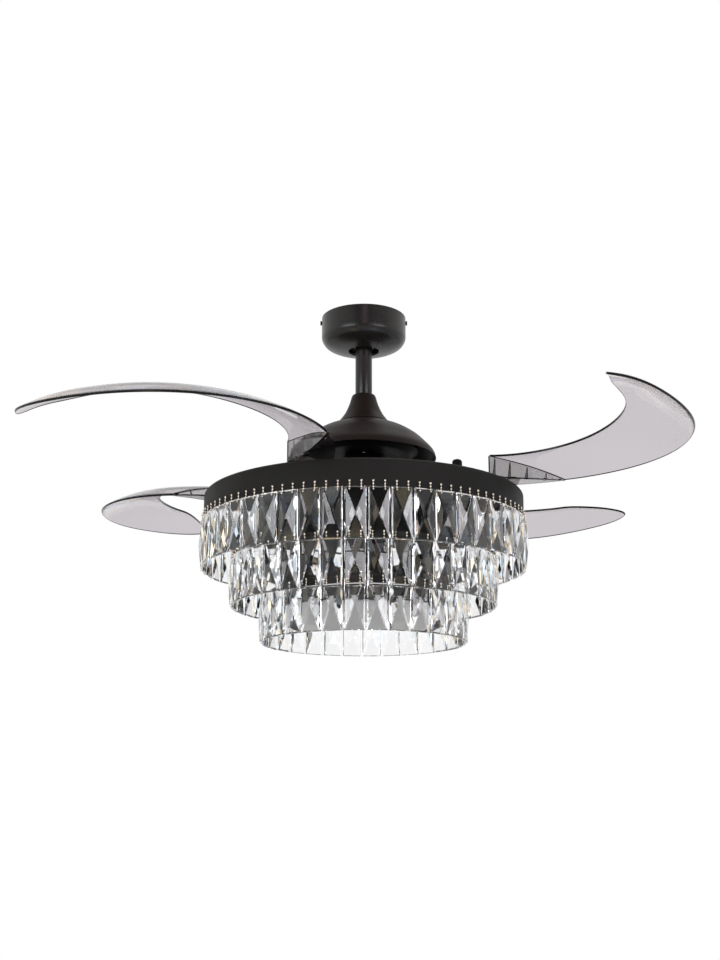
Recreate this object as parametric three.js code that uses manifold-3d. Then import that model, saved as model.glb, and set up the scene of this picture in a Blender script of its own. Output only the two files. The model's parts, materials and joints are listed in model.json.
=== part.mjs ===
// Ceiling fan with four retracting blades above a three-tier crystal light.
// Millimetres, +Z up. The origin is on the ceiling, on the axis of the fan.
import * as THREE from 'three';
import { mergeVertices } from 'three/addons/utils/BufferGeometryUtils.js';
import Module from 'manifold-3d';

const wasm = await Module();
wasm.setup();

// ---------- driving dimensions ----------

const gap = 0.3; // between pieces that touch
const sheetMetal = 1.6;

// heights of the main levels, measured down from the ceiling
const ringTopZ = -319;
const canopyHeight = 59;
const canopyRadius = 72;
const canopyHoleRadius = 25.8;

// ceiling bracket and hanger ball
const bracketThickness = 2.5;
const bracketClearance = 1.4; // inside the canopy's wall
const bracketSpan = 2 * (canopyRadius - sheetMetal - bracketClearance);
const bracketWidth = 40;
const ballRadius = 29.5;
const ballCentreZ = -30;
const ballTopZ = -12;
const ballBottomZ = -51;
const ballSeatGap = 0.8;
const cradleRadius = 36;
const cradleRimZ = -49;
const cradleRimHeight = 6;
const cradleStrapWidth = 26;
const earDepth = 15;
const earWidth = 22;
const canopyScrewZ = -8;
const screwRadius = 2;
const screwHeadRadius = 4;
const screwHeadHeight = 2.4;

// downrod and coupling
const rodRadius = 14.25;
const rodWall = 2.2;
const rodTopZ = -9;
const pinRadius = 3;
const pinClearance = 0.3;
const hangerPinLength = 44;
const couplingRadius = 20;
const couplingTopZ = ringTopZ + 160;
const couplingStepZ = ringTopZ + 134;
const couplingBottomZ = ringTopZ + 118;
const couplingPinLength = 46;

// motor
const motorRadius = 92;

// covers below the rod, as radius and height over the ring's top
const yokeCoverProfile = [[18.5, 183], [20.5, 180], [24, 166.5], [31, 151], [40, 137.3]];
const motorCoverProfile = [
  [40, 137],
  [motorRadius - 21.5, 124],
  [motorRadius, 109.5],
  [motorRadius + 15, 95],
  [motorRadius + 27, 81],
  [motorRadius + 30, 68],
];

const shaftRadius = 10;
const shaftBottom = -42; // over the ring's top
const motorBottomRadius = 77;
const motorTopRadius = 70;
const motorBottom = 72;
const motorChamfer = 8;
const motorShoulder = 10;
const motorSplit = 89;
const motorTop = 110;
const motorWall = 4;
const bearingRadius = 17;
const bearingHeight = 8;
const magnetThickness = 8;
const magnetHeight = 15;
const airGap = 1.2;
const statorHeight = 16;
const statorSlots = 9;
const statorBackRadius = 40;
const rotorHubRadius = 33;
const rotorHubBore = 20;
const rotorHubFlangeRadius = 60;

// blades: the plan is polar about a centre of its own, from root to tip
const bladeCount = 4;
const pivot = new THREE.Vector2(150, -105);
const bladeCentre = new THREE.Vector2(264.7, -365.7);
const rootAngle = 106.16;
const tipAngle = -69.24;
const convexRadii = [324, 315.7, 266.7, 200.6, 165.6, 146.6];
const concaveRadii = [256.5, 214.6, 147.6, 101.9, 93.7, 146.6];
const edgeHeights = [8.4, 26.4, 35.1, 58.4]; // the convex edge over the ring's top
const edgeSlopes = [0.973, 0.618, 0.806, 0.991]; // rise per mm towards the concave edge
const camber = [-0.00697, -0.00261, -0.00488, -0.01097]; // bend of that rise
const bladeThickness = 2.6;
const bladeEnd = 0.988; // the tip stays a few millimetres wide
const rootLineConvex = 0.16; // where the raised sheet starts, along each edge
const rootLineConcave = 0.01;
const flangeThickness = 3;
const ribCount = 4;
const ribDepth = 11;
const ribThickness = 2;
const bladeHubRadius = 18;
const bladeHubTop = 14;

// fold mechanism below the blades
const postRadius = 8;
const postClearance = 0.5;
const postNeckRadius = 6;
const postTop = 40;
const postCollarRadius = 11;
const postCollarHeight = 2;
const sunTeeth = 48;
const bladeTeeth = 16;
const teethPerSector = 11;
const dedendum = 1.2; // in modules
const addendum = 0.9;
const pressureAngle = THREE.MathUtils.degToRad(20);
const backlash = 0.9;
const gearBottom = -9.6;
const gearHeight = 6;
const gearNeckRadius = 11;
const sunRimWidth = 10; // between the bore and the tooth roots
const carrierTop = -10;
const carrierThickness = 4;
const carrierRimStep = 4; // the disc reaches this far past the sync gear's bore
const carrierArmWidth = 34;
const carrierEyeRadius = 24;
const carrierRimWidth = 7;
const carrierRimGap = 0.75;
const springWire = 2;
const springRadius = 15;
const springTurns = 2.25;

// light kit: ring band and pan
const ringRadius = 266;
const ringWall = 2.5;
const ringHeight = 46;
const ringFillet = 5;
const ringLip = 14;
const ringSegments = 40;
const panTop = -22;
const panThickness = 2;

// light kit: crystal tiers
const crystalHeight = 80;
const crystalWidth = 33.5;
const crystalEdgeThickness = 4.6;
const crystalMidThickness = 11;
const crystalPitch = 34.9; // along the tier's circle
const tierCount = 3;
const tierInset = 50; // each tier's radius is this much less than the one above
const tierDrop = 59;
const tierTurn = 1.15; // a gap between crystals lies this many degrees from the front
const railLip = 0.5;
const railHeight = 1.6;
const crystalSeat = 0.4;
const tierArmCount = 4;
const tierArmTurn = 36; // degrees, at corners of the lamp housing
const tierArmWidth = 12;
const tierArmThickness = 1.2;
const tierSeatReach = 9; // of the tab under each arm
const tierSeatThickness = 2;

// light kit: lamp housing
const housingRadius = 118;
const housingTop = panTop - panThickness - gap;
const housingBottom = -190;
const housingHole = 14;
const ledgeTop = -174.5;
const ledgeWidth = 9;
const boardThickness = 3;
const diffuserDepth = 24;
const diffuserWall = 2.5;
const nutRadius = 17;
const nutHeight = 8;
const driverSize = new THREE.Vector3(120, 50, 28);
const receiverSize = new THREE.Vector3(64, 20, 22);

// ---------- materials ----------

const paint = { bronze: 0x2a221d, charcoal: 0x2b2a29, zinc: 0x9a9c9e, steel: 0xb9bbbe, black: 0x171717 };

function material(color, roughness, metalness, opacity = 1) {
  return new THREE.MeshStandardMaterial({ color, roughness, metalness, opacity, transparent: opacity < 1 });
}

const finish = {
  bronze: material(paint.bronze, 0.38, 0.6),
  charcoal: material(paint.charcoal, 0.75, 0.3),
  zinc: material(paint.zinc, 0.45, 0.9),
  steel: material(paint.steel, 0.25, 1),
  black: material(paint.black, 0.5, 0.2),
  plastic: material(0x1c1c1e, 0.6, 0),
  nylon: material(0xd9d6cc, 0.5, 0),
  copper: material(0xa35f3a, 0.4, 0.9),
  magnet: material(0x3b3b3e, 0.6, 0.5),
  smoke: material(0xb4adb6, 0.1, 0, 0.5),
  crystal: material(0xe8e8ee, 0.05, 0, 0.6),
  aluminium: material(0xc9ccd0, 0.4, 0.9),
  opal: material(0xf6f6f2, 0.5, 0),
};

// ---------- solids ----------

function signedVolume(position, index) {
  const [a, b, c] = [new THREE.Vector3(), new THREE.Vector3(), new THREE.Vector3()];
  let sum = 0;
  for (let i = 0; i < index.length; i += 3) {
    a.fromBufferAttribute(position, index[i]);
    b.fromBufferAttribute(position, index[i + 1]);
    c.fromBufferAttribute(position, index[i + 2]);
    sum += a.dot(b.cross(c));
  }
  return sum;
}

// A closed three.js geometry as a solid whose faces point outwards.
function solid(geometry) {
  const bare = geometry.clone();
  bare.deleteAttribute('normal');
  bare.deleteAttribute('uv');
  const merged = mergeVertices(bare, 1e-4);
  const position = merged.attributes.position;
  const index = [];
  for (let i = 0; i < merged.index.count; i += 3) {
    const corners = [0, 1, 2].map((k) => merged.index.getX(i + k));
    if (new Set(corners).size === 3) index.push(...corners);
  }
  if (signedVolume(position, index) < 0) index.reverse();
  const mesh = new wasm.Mesh({
    numProp: 3,
    vertProperties: new Float32Array(position.array),
    triVerts: new Uint32Array(index),
  });
  return new wasm.Manifold(mesh);
}

function geometryOf(body) {
  const mesh = body.getMesh();
  const geometry = new THREE.BufferGeometry();
  geometry.setAttribute('position', new THREE.BufferAttribute(mesh.vertProperties, 3));
  geometry.setIndex(new THREE.BufferAttribute(mesh.triVerts, 1));
  geometry.computeVertexNormals();
  return geometry;
}

function joined(bodies) {
  return bodies.reduce((sum, body) => sum.add(body));
}

// Turned about Z from a closed profile of [radius, height] points.
function lathe(profile, segments = 20) {
  const points = profile.map(([r, z]) => new THREE.Vector2(r, z));
  const [first, last] = [points[0], points[points.length - 1]];
  const onAxis = first.x === 0 && last.x === 0;
  if (!onAxis) points.push(first.clone());
  return solid(new THREE.LatheGeometry(points, segments).rotateX(Math.PI / 2));
}

function tube(outer, inner, low, high, segments = 20) {
  return lathe([[inner, low], [outer, low], [outer, high], [inner, high]], segments);
}

function rod(radius, low, high, segments = 12) {
  return lathe([[0, low], [radius, low], [radius, high], [0, high]], segments);
}

function box(x0, x1, y0, y1, z0, z1) {
  const geometry = new THREE.BoxGeometry(x1 - x0, y1 - y0, z1 - z0);
  return solid(geometry.translate((x0 + x1) / 2, (y0 + y1) / 2, (z0 + z1) / 2));
}

function plate(shape, low, high, curveSegments = 6) {
  const settings = { depth: high - low, bevelEnabled: false, curveSegments };
  return solid(new THREE.ExtrudeGeometry(shape, settings).translate(0, 0, low));
}

// A cylinder along X or Y, centred on the fan's axis.
function crossPin(radius, length, z, along) {
  const geometry = new THREE.CylinderGeometry(radius, radius, length, 8);
  if (along === 'x') geometry.rotateZ(Math.PI / 2);
  return solid(geometry.translate(0, 0, z));
}

// The space between two grids of points, closed round their four edges.
function slab(columns, rows, frontAt, backAt) {
  const positions = [];
  const index = [];
  const stride = rows + 1;
  const layer = (columns + 1) * stride;
  for (const pointAt of [frontAt, backAt]) {
    for (let i = 0; i <= columns; i++) {
      for (let j = 0; j <= rows; j++) positions.push(...pointAt(i / columns, j / rows).toArray());
    }
  }
  const quad = (a, b, c, d) => index.push(a, b, c, a, c, d);
  const front = (i, j) => i * stride + j;
  const back = (i, j) => layer + front(i, j);
  for (let i = 0; i < columns; i++) {
    for (let j = 0; j < rows; j++) {
      quad(front(i, j), front(i + 1, j), front(i + 1, j + 1), front(i, j + 1));
      quad(back(i, j), back(i, j + 1), back(i + 1, j + 1), back(i + 1, j));
    }
    quad(front(i + 1, 0), front(i, 0), back(i, 0), back(i + 1, 0));
    quad(front(i, rows), front(i + 1, rows), back(i + 1, rows), back(i, rows));
  }
  for (let j = 0; j < rows; j++) {
    quad(front(0, j), front(0, j + 1), back(0, j + 1), back(0, j));
    quad(front(columns, j + 1), front(columns, j), back(columns, j), back(columns, j + 1));
  }
  const geometry = new THREE.BufferGeometry();
  geometry.setAttribute('position', new THREE.Float32BufferAttribute(positions, 3));
  geometry.setIndex(index);
  return solid(geometry);
}

// The outer profile, listed from its top down or from its rim in, with its copy moved inwards by
// the wall, as one closed outline. Both ends are cut level or upright, whichever is squarer.
function shellProfile(outer, wall) {
  const last = outer.length - 1;
  const inner = outer.map(([r, z], i) => {
    const [r0, z0] = outer[Math.max(i - 1, 0)];
    const [r1, z1] = outer[Math.min(i + 1, last)];
    const [dr, dz] = [r1 - r0, z1 - z0];
    const length = Math.hypot(dr, dz);
    if (i > 0 && i < last) return [r + (wall * dz) / length, z - (wall * dr) / length];
    if (Math.abs(dz) > Math.abs(dr)) return [r + (wall * length) / dz, z];
    return [r, z - (wall * length) / dr];
  });
  return [...outer, ...inner.reverse()];
}

function smoothed(points, count) {
  const curve = new THREE.SplineCurve(points.map(([r, z]) => new THREE.Vector2(r, z)));
  return curve.getPoints(count).map((p) => [p.x, p.y]);
}

const group = new THREE.Group();

function addPiece(name, body, look, parent = group) {
  const mesh = new THREE.Mesh(geometryOf(body), look);
  mesh.name = name;
  parent.add(mesh);
  return mesh;
}

// Pieces below the canopy are drawn with the ring's top at height 0.
const hanging = new THREE.Group();
hanging.position.z = ringTopZ;
group.add(hanging);

// ---------- ceiling bracket, canopy and receiver ----------

function ceilingBracket() {
  const half = bracketSpan / 2;
  const earX = half - bracketThickness;
  const strapInner = cradleRadius - bracketThickness;
  const receiverEnd = cradleRadius + receiverSize.y + 4;
  const seatRadius = (z) => Math.sqrt(ballRadius ** 2 - (z - ballCentreZ) ** 2) + ballSeatGap;
  const rimTopZ = cradleRimZ + cradleRimHeight;
  const parts = [
    box(-half, half, -bracketWidth / 2, bracketWidth / 2, -bracketThickness, 0),
    box(-receiverSize.x / 2, receiverSize.x / 2, 0, receiverEnd, -bracketThickness, 0),
    lathe([
      [seatRadius(cradleRimZ), cradleRimZ],
      [cradleRadius, cradleRimZ],
      [cradleRadius, rimTopZ],
      [seatRadius(rimTopZ), rimTopZ],
    ]),
  ];
  for (const side of [-1, 1]) {
    const [ear0, ear1] = [side * earX, side * half].sort((a, b) => a - b);
    const [strap0, strap1] = [side * strapInner, side * cradleRadius].sort((a, b) => a - b);
    const halfStrap = cradleStrapWidth / 2;
    parts.push(box(ear0, ear1, -earWidth / 2, earWidth / 2, -earDepth, -bracketThickness / 2));
    parts.push(box(strap0, strap1, -halfStrap, halfStrap, cradleRimZ, -bracketThickness / 2));
  }
  const screwHoles = crossPin(screwRadius + gap, bracketSpan + 2, canopyScrewZ, 'x');
  const slots = [-1, 1].map((side) => {
    const slot = new THREE.Shape();
    const x = side * (half - 20);
    slot.absarc(x + 6, 0, 3, -Math.PI / 2, Math.PI / 2);
    slot.absarc(x - 6, 0, 3, Math.PI / 2, (3 * Math.PI) / 2);
    return plate(slot, -bracketThickness - 1, 1);
  });
  const reach = rod(canopyRadius - sheetMetal - 1, cradleRimZ, 0, 32);
  return joined(parts).intersect(reach).subtract(screwHoles).subtract(joined(slots));
}

function canopy() {
  const side = [[canopyRadius, -0.5], [canopyRadius, -canopyHeight * 0.58]];
  const bowl = smoothed([
    [canopyRadius - 1.2, -canopyHeight * 0.68],
    [canopyRadius - 8, -canopyHeight * 0.83],
    [canopyRadius - 24, -canopyHeight * 0.94],
    [canopyHoleRadius, -canopyHeight],
  ], 4);
  const shell = lathe(shellProfile([...side, ...bowl], sheetMetal));
  return shell.subtract(crossPin(screwRadius + gap, 2 * canopyRadius + 4, canopyScrewZ, 'x'));
}

function canopyScrew() {
  const inside = bracketSpan / 2 - bracketThickness - 4;
  const outside = canopyRadius + gap;
  const geometry = [
    [screwRadius, inside, outside + 0.5],
    [screwHeadRadius, outside, outside + screwHeadHeight],
  ].map(([r, x0, x1]) => {
    const cylinder = new THREE.CylinderGeometry(r, r, x1 - x0, 10).rotateZ(Math.PI / 2);
    return solid(cylinder.translate((x0 + x1) / 2, 0, canopyScrewZ));
  });
  return joined(geometry);
}

function receiver() {
  const y0 = cradleRadius + 2;
  const top = -bracketThickness - gap;
  const half = receiverSize.x / 2;
  return box(-half, half, y0, y0 + receiverSize.y, top - receiverSize.z, top);
}

addPiece('ceiling_bracket', ceilingBracket(), finish.zinc);
addPiece('canopy', canopy(), finish.bronze);
addPiece('canopy_screw_right', canopyScrew(), finish.black);
addPiece('canopy_screw_left', canopyScrew(), finish.black).rotation.z = Math.PI;
addPiece('receiver_box', receiver(), finish.plastic);

// ---------- hanger ball, downrod and coupling ----------

const rodBottomZ = couplingStepZ + gap;
const hangerPinZ = ballTopZ - 6;
const couplingPinZ = (couplingTopZ + couplingStepZ) / 2;

function hangerBall() {
  const profile = [];
  const steps = 6;
  const startAngle = Math.asin((ballBottomZ - ballCentreZ) / ballRadius);
  const endAngle = Math.asin((ballTopZ - ballCentreZ) / ballRadius);
  for (let i = 0; i <= steps; i++) {
    const angle = startAngle + ((endAngle - startAngle) * i) / steps;
    profile.push([ballRadius * Math.cos(angle), ballCentreZ + ballRadius * Math.sin(angle)]);
  }
  const bore = rodRadius + gap;
  const half = hangerPinLength / 2 + gap;
  const slotHalf = pinRadius + pinClearance;
  const slot = box(-half, half, -slotHalf, slotHalf, hangerPinZ - slotHalf, 0);
  return lathe([...profile, [bore, ballTopZ], [bore, ballBottomZ]]).subtract(slot);
}

function downrod() {
  const holeRadius = pinRadius + pinClearance;
  return tube(rodRadius, rodRadius - rodWall, rodBottomZ, rodTopZ)
    .subtract(crossPin(holeRadius, 3 * rodRadius, hangerPinZ, 'x'))
    .subtract(crossPin(holeRadius, 3 * rodRadius, couplingPinZ, 'y'));
}

function coupling() {
  const body = lathe([
    [shaftRadius + gap, couplingBottomZ],
    [couplingRadius, couplingBottomZ],
    [couplingRadius, couplingTopZ],
    [rodRadius + gap, couplingTopZ],
    [rodRadius + gap, couplingStepZ],
    [shaftRadius + gap, couplingStepZ],
  ]);
  return body.subtract(crossPin(pinRadius + pinClearance, 3 * couplingRadius, couplingPinZ, 'y'));
}

addPiece('hanger_ball', hangerBall(), finish.plastic);
addPiece('downrod', downrod(), finish.bronze);
addPiece('hanger_pin', crossPin(pinRadius, hangerPinLength, hangerPinZ, 'x'), finish.steel);
addPiece('coupling', coupling(), finish.zinc);
addPiece('coupling_pin', crossPin(pinRadius, couplingPinLength, couplingPinZ, 'y'), finish.steel);

// ---------- covers and motor ----------

function yokeCover() {
  const outer = [[rodRadius + 0.75, yokeCoverProfile[0][1]], ...yokeCoverProfile];
  return lathe(shellProfile(outer, sheetMetal));
}

function motorCover() {
  const mouth = [shaftRadius + 14, motorCoverProfile[0][1]];
  return lathe(shellProfile([mouth, ...smoothed(motorCoverProfile, 5)], sheetMetal), 28);
}

const magnetOuter = motorRadius - motorWall - gap;
const statorRadius = magnetOuter - magnetThickness - airGap;
const motorMiddle = (motorBottom + motorTop) / 2;

function motorShellTop() {
  return lathe([
    [bearingRadius + gap, motorTop],
    [bearingRadius + gap, motorTop - motorWall],
    [motorTopRadius - 2, motorTop - motorWall],
    [motorRadius - motorWall, motorTop - motorShoulder - 1],
    [motorRadius - motorWall, motorSplit + gap],
    [motorRadius, motorSplit + gap],
    [motorRadius, motorTop - motorShoulder],
    [motorTopRadius, motorTop],
  ]);
}

function motorShellBottom() {
  return lathe([
    [bearingRadius + gap, motorBottom],
    [motorBottomRadius, motorBottom],
    [motorRadius, motorBottom + motorChamfer],
    [motorRadius, motorSplit],
    [motorRadius - motorWall, motorSplit],
    [motorRadius - motorWall, motorBottom + motorChamfer + 2],
    [motorBottomRadius, motorBottom + motorWall],
    [bearingRadius + gap, motorBottom + motorWall],
  ]);
}

function stator() {
  const half = statorHeight / 2;
  const shape = new THREE.Shape();
  const slotAngle = (2 * Math.PI) / statorSlots;
  const outline = [];
  for (let i = 0; i < statorSlots; i++) {
    const corners = [[statorBackRadius, -0.3], [statorRadius - 8, -0.22], [statorRadius, -0.42],
      [statorRadius, 0.42], [statorRadius - 8, 0.22], [statorBackRadius, 0.3]];
    for (const [r, share] of corners) {
      const angle = (i + share) * slotAngle;
      outline.push(new THREE.Vector2(r * Math.cos(angle), r * Math.sin(angle)));
    }
  }
  shape.setFromPoints(outline);
  const bore = new THREE.Path();
  bore.absarc(0, 0, shaftRadius + gap, 0, 2 * Math.PI, true);
  shape.holes.push(bore);
  return plate(shape, motorMiddle - half, motorMiddle + half, 10);
}

function winding(level) {
  const half = statorHeight / 2;
  const inner = statorBackRadius + 2;
  const outer = statorRadius - 9;
  const near = motorMiddle + level * (half + gap);
  const far = near + level * 4;
  return tube(outer, inner, Math.min(near, far), Math.max(near, far));
}

function rotorHub() {
  const foot = carrierTop + gap;
  return lathe([
    [rotorHubBore, foot],
    [rotorHubFlangeRadius, foot],
    [rotorHubFlangeRadius, foot + 3],
    [rotorHubRadius, foot + 8],
    [rotorHubRadius, motorBottom - gap],
    [rotorHubBore, motorBottom - gap],
  ]);
}

function bearing(low) {
  return tube(bearingRadius, shaftRadius + gap, low, low + bearingHeight, 20);
}

const shaftTop = couplingStepZ - ringTopZ - 2;
const magnetLow = motorMiddle - magnetHeight / 2;
addPiece('yoke_cover', yokeCover(), finish.bronze, hanging);
addPiece('motor_cover', motorCover(), finish.bronze, hanging);
addPiece('motor_shaft', tube(shaftRadius, shaftRadius - 3, shaftBottom, shaftTop), finish.steel, hanging);
addPiece('stator_core', stator(), finish.magnet, hanging);
addPiece('winding_top', winding(1), finish.copper, hanging);
addPiece('winding_bottom', winding(-1), finish.copper, hanging);
addPiece('motor_shell_top', motorShellTop(), finish.black, hanging);
addPiece('motor_shell_bottom', motorShellBottom(), finish.black, hanging);
const magnet = tube(magnetOuter, magnetOuter - magnetThickness, magnetLow, magnetLow + magnetHeight);
addPiece('magnet_ring', magnet, finish.magnet, hanging);
addPiece('bearing_top', bearing(motorTop - bearingHeight), finish.steel, hanging);
addPiece('bearing_bottom', bearing(motorBottom), finish.steel, hanging);
addPiece('rotor_hub', rotorHub(), finish.black, hanging);

// ---------- fold mechanism ----------

const pivotDistance = pivot.length();
const pivotAngle = pivot.angle();
const gearModule = (2 * pivotDistance) / (sunTeeth + bladeTeeth);
const sunInnerRadius = (sunTeeth / 2 - dedendum) * gearModule - sunRimWidth;
const involute = (angle) => Math.tan(angle) - angle;

// Half the angle that a tooth covers at a radius, from the involute of its base circle.
function halfToothAngle(teeth, radius) {
  const pitchRadius = (gearModule * teeth) / 2;
  const baseRadius = pitchRadius * Math.cos(pressureAngle);
  const halfAtPitch = Math.PI / (2 * teeth) - backlash / (2 * pitchRadius);
  const angle = Math.acos(Math.min(1, baseRadius / radius));
  return halfAtPitch + involute(pressureAngle) - involute(angle);
}

function gearOutline(teeth, firstTooth, toothCount, firstAngle) {
  const pitchRadius = (gearModule * teeth) / 2;
  const rootRadius = pitchRadius - dedendum * gearModule;
  const tipRadius = pitchRadius + addendum * gearModule;
  const flank = [rootRadius, pitchRadius, tipRadius];
  const pitchAngle = (2 * Math.PI) / teeth;
  const points = [];
  const push = (radius, angle) => {
    points.push(new THREE.Vector2(radius * Math.cos(angle), radius * Math.sin(angle)));
  };
  for (let i = 0; i < teeth; i++) {
    const middle = firstAngle + i * pitchAngle;
    const isTooth = (i - firstTooth + teeth) % teeth < toothCount;
    if (!isTooth) {
      push(rootRadius, middle);
      continue;
    }
    for (const radius of flank) push(radius, middle - halfToothAngle(teeth, radius));
    for (const radius of [...flank].reverse()) push(radius, middle + halfToothAngle(teeth, radius));
  }
  return points;
}

// A tooth of each blade gear points at the axis, between two teeth of the sync gear.
function syncGear() {
  const halfPitch = Math.PI / sunTeeth;
  const shape = new THREE.Shape(gearOutline(sunTeeth, 0, sunTeeth, pivotAngle + halfPitch));
  const bore = new THREE.Path();
  bore.absarc(0, 0, sunInnerRadius, 0, 2 * Math.PI, true);
  shape.holes.push(bore);
  return plate(shape, gearBottom, gearBottom + gearHeight, 18);
}

function bladeGear() {
  const outline = gearOutline(bladeTeeth, -2, teethPerSector, pivotAngle + Math.PI);
  const neckTop = edgeHeights[0] - flangeThickness / 2 - gap;
  const disc = plate(new THREE.Shape(outline), gearBottom, gearBottom + gearHeight);
  const neck = rod(gearNeckRadius, gearBottom, neckTop, 10);
  const bore = rod(postRadius + postClearance, gearBottom - 1, neckTop + 1, 10);
  return disc.add(neck).subtract(bore).translate(pivot.x, pivot.y, 0);
}

function pivotPost() {
  const collar = bladeHubTop + gap;
  const profile = [
    [0, carrierTop - carrierThickness - 4],
    [postNeckRadius, carrierTop - carrierThickness - 4],
    [postNeckRadius, carrierTop + gap],
    [postRadius, carrierTop + gap],
    [postRadius, collar],
    [postCollarRadius, collar],
    [postCollarRadius, collar + postCollarHeight],
    [postRadius, collar + postCollarHeight],
    [postRadius, postTop - 5],
    [postRadius * 0.8, postTop - 1.6],
    [0, postTop],
  ];
  return lathe(profile, 8).translate(pivot.x, pivot.y, 0);
}

function carrier() {
  const low = carrierTop - carrierThickness;
  const rimInner = sunInnerRadius - carrierRimGap - carrierRimWidth;
  const parts = [
    rod(sunInnerRadius + carrierRimStep, low, carrierTop, 20),
    tube(sunInnerRadius - carrierRimGap, rimInner, low, gearBottom + gearHeight),
  ];
  const arm = box(0, pivotDistance, -carrierArmWidth / 2, carrierArmWidth / 2, low, carrierTop);
  const eye = rod(carrierEyeRadius, low, carrierTop).translate(pivotDistance, 0, 0);
  const hole = rod(postNeckRadius + gap, low - 1, carrierTop + 1).translate(pivotDistance, 0, 0);
  const window = rod(20, low - 1, carrierTop + 1, 8).translate((rotorHubFlangeRadius + rimInner) / 2, 0, 0);
  const pivotDegrees = THREE.MathUtils.radToDeg(pivotAngle);
  const cuts = [rod(rotorHubBore, low - 1, carrierTop + 1)];
  for (let k = 0; k < bladeCount; k++) {
    const turn = pivotDegrees + (360 * k) / bladeCount;
    parts.push(arm.add(eye).rotate([0, 0, turn]));
    cuts.push(hole.rotate([0, 0, turn]), window.rotate([0, 0, turn + 45]));
  }
  return joined(parts).subtract(joined(cuts));
}

class Helix extends THREE.Curve {
  constructor(radius, low, high, turns) {
    super();
    Object.assign(this, { radius, low, high, turns });
  }

  getPoint(t, target = new THREE.Vector3()) {
    const angle = 2 * Math.PI * this.turns * t;
    const z = this.low + (this.high - this.low) * t;
    return target.set(this.radius * Math.cos(angle), this.radius * Math.sin(angle), z);
  }
}

function returnSpring() {
  const low = gearBottom + gearHeight + gap + springWire / 2;
  const high = edgeHeights[0] - flangeThickness / 2 - gap - springWire / 2;
  const path = new Helix(springRadius, low, high, springTurns);
  const section = new THREE.Shape();
  const points = [];
  for (let i = 0; i < 4; i++) {
    const angle = (2 * Math.PI * i) / 4;
    points.push(new THREE.Vector2(Math.cos(angle), Math.sin(angle)).multiplyScalar(springWire / 2));
  }
  section.setFromPoints(points);
  const settings = { steps: 8 * springTurns, bevelEnabled: false, extrudePath: path };
  return solid(new THREE.ExtrudeGeometry(section, settings)).translate(pivot.x, pivot.y, 0);
}

// ---------- blades ----------

// The polynomial through values that are spaced evenly over 0 to 1.
function through(values) {
  const last = values.length - 1;
  return (t) => values.reduce((sum, value, i) => {
    const weight = values.reduce((w, _, j) => (j === i ? w : (w * (t * last - j)) / (i - j)), 1);
    return sum + weight * value;
  }, 0);
}

const convexRadius = through(convexRadii);
const concaveRadius = through(concaveRadii);
const edgeHeight = through(edgeHeights);
const edgeSlope = through(edgeSlopes);
const edgeCamber = through(camber);

// t runs from root to tip and s from the convex edge to the concave one.
function planPoint(t, s) {
  const angle = THREE.MathUtils.degToRad(rootAngle + (tipAngle - rootAngle) * t);
  const radius = THREE.MathUtils.lerp(convexRadius(t), concaveRadius(t), s);
  return new THREE.Vector3(
    bladeCentre.x + radius * Math.cos(angle),
    bladeCentre.y + radius * Math.sin(angle),
    edgeHeight(t),
  );
}

function sheetPoint(t, s) {
  const point = planPoint(t, s);
  const inward = (convexRadius(t) - concaveRadius(t)) * s;
  point.z += edgeSlope(t) * inward + edgeCamber(t) * inward ** 2;
  return point;
}

function sheetNormal(t, s) {
  const step = 1e-3;
  const alongT = sheetPoint(t + step, s).sub(sheetPoint(t - step, s));
  const alongS = sheetPoint(t, s + step).sub(sheetPoint(t, s - step));
  const normal = alongT.cross(alongS).normalize();
  return normal.z < 0 ? normal.negate() : normal;
}

const rootLine = (s) => THREE.MathUtils.lerp(rootLineConvex, rootLineConcave, s);

function bladeSheet() {
  const offset = (side) => (u, s) => {
    const t = THREE.MathUtils.lerp(rootLine(s), bladeEnd, u);
    return sheetPoint(t, s).addScaledVector(sheetNormal(t, s), (side * bladeThickness) / 2);
  };
  return slab(17, 4, offset(1), offset(-1));
}

function rootFlange() {
  const offset = (side) => (u, s) => {
    const point = planPoint(rootLine(s) * u, s);
    point.z += (side * flangeThickness) / 2;
    return point;
  };
  return slab(3, 1, offset(1), offset(-1));
}

// The direction in plan from the root line towards the pivot.
function rootInward(s) {
  const along = planPoint(rootLine(1), 1).sub(planPoint(rootLine(0), 0)).setZ(0).normalize();
  const inward = new THREE.Vector3(-along.y, along.x, 0);
  const toPivot = new THREE.Vector3(pivot.x, pivot.y, 0).sub(planPoint(rootLine(s), s));
  return inward.dot(toPivot) < 0 ? inward.negate() : inward;
}

// The wall under the root line, from the flange up to the sheet.
function rootWall() {
  const offset = (side) => (s, rise) => {
    const foot = planPoint(rootLine(s), s);
    const head = sheetPoint(rootLine(s), s).z;
    foot.z = THREE.MathUtils.lerp(foot.z - flangeThickness / 2, head, rise);
    return foot.addScaledVector(rootInward(s), side > 0 ? bladeThickness : -0.4);
  };
  return slab(5, 1, offset(1), offset(-1));
}

// Buttress ribs stand on the flange, inside the wall.
function rootRib(s) {
  const foot = planPoint(rootLine(s), s);
  const head = sheetPoint(rootLine(s), s).z - 1;
  const inward = rootInward(s);
  const across = new THREE.Vector3(-inward.y, inward.x, 0).multiplyScalar(ribThickness / 2);
  const offset = (side) => (u, rise) => {
    const reach = u * THREE.MathUtils.lerp(ribDepth, ribDepth * 0.25, rise);
    const point = foot.clone().addScaledVector(inward, 0.5 + reach).addScaledVector(across, side);
    point.z = THREE.MathUtils.lerp(foot.z - flangeThickness / 4, head, rise);
    return point;
  };
  return slab(1, 1, offset(1), offset(-1));
}

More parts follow.
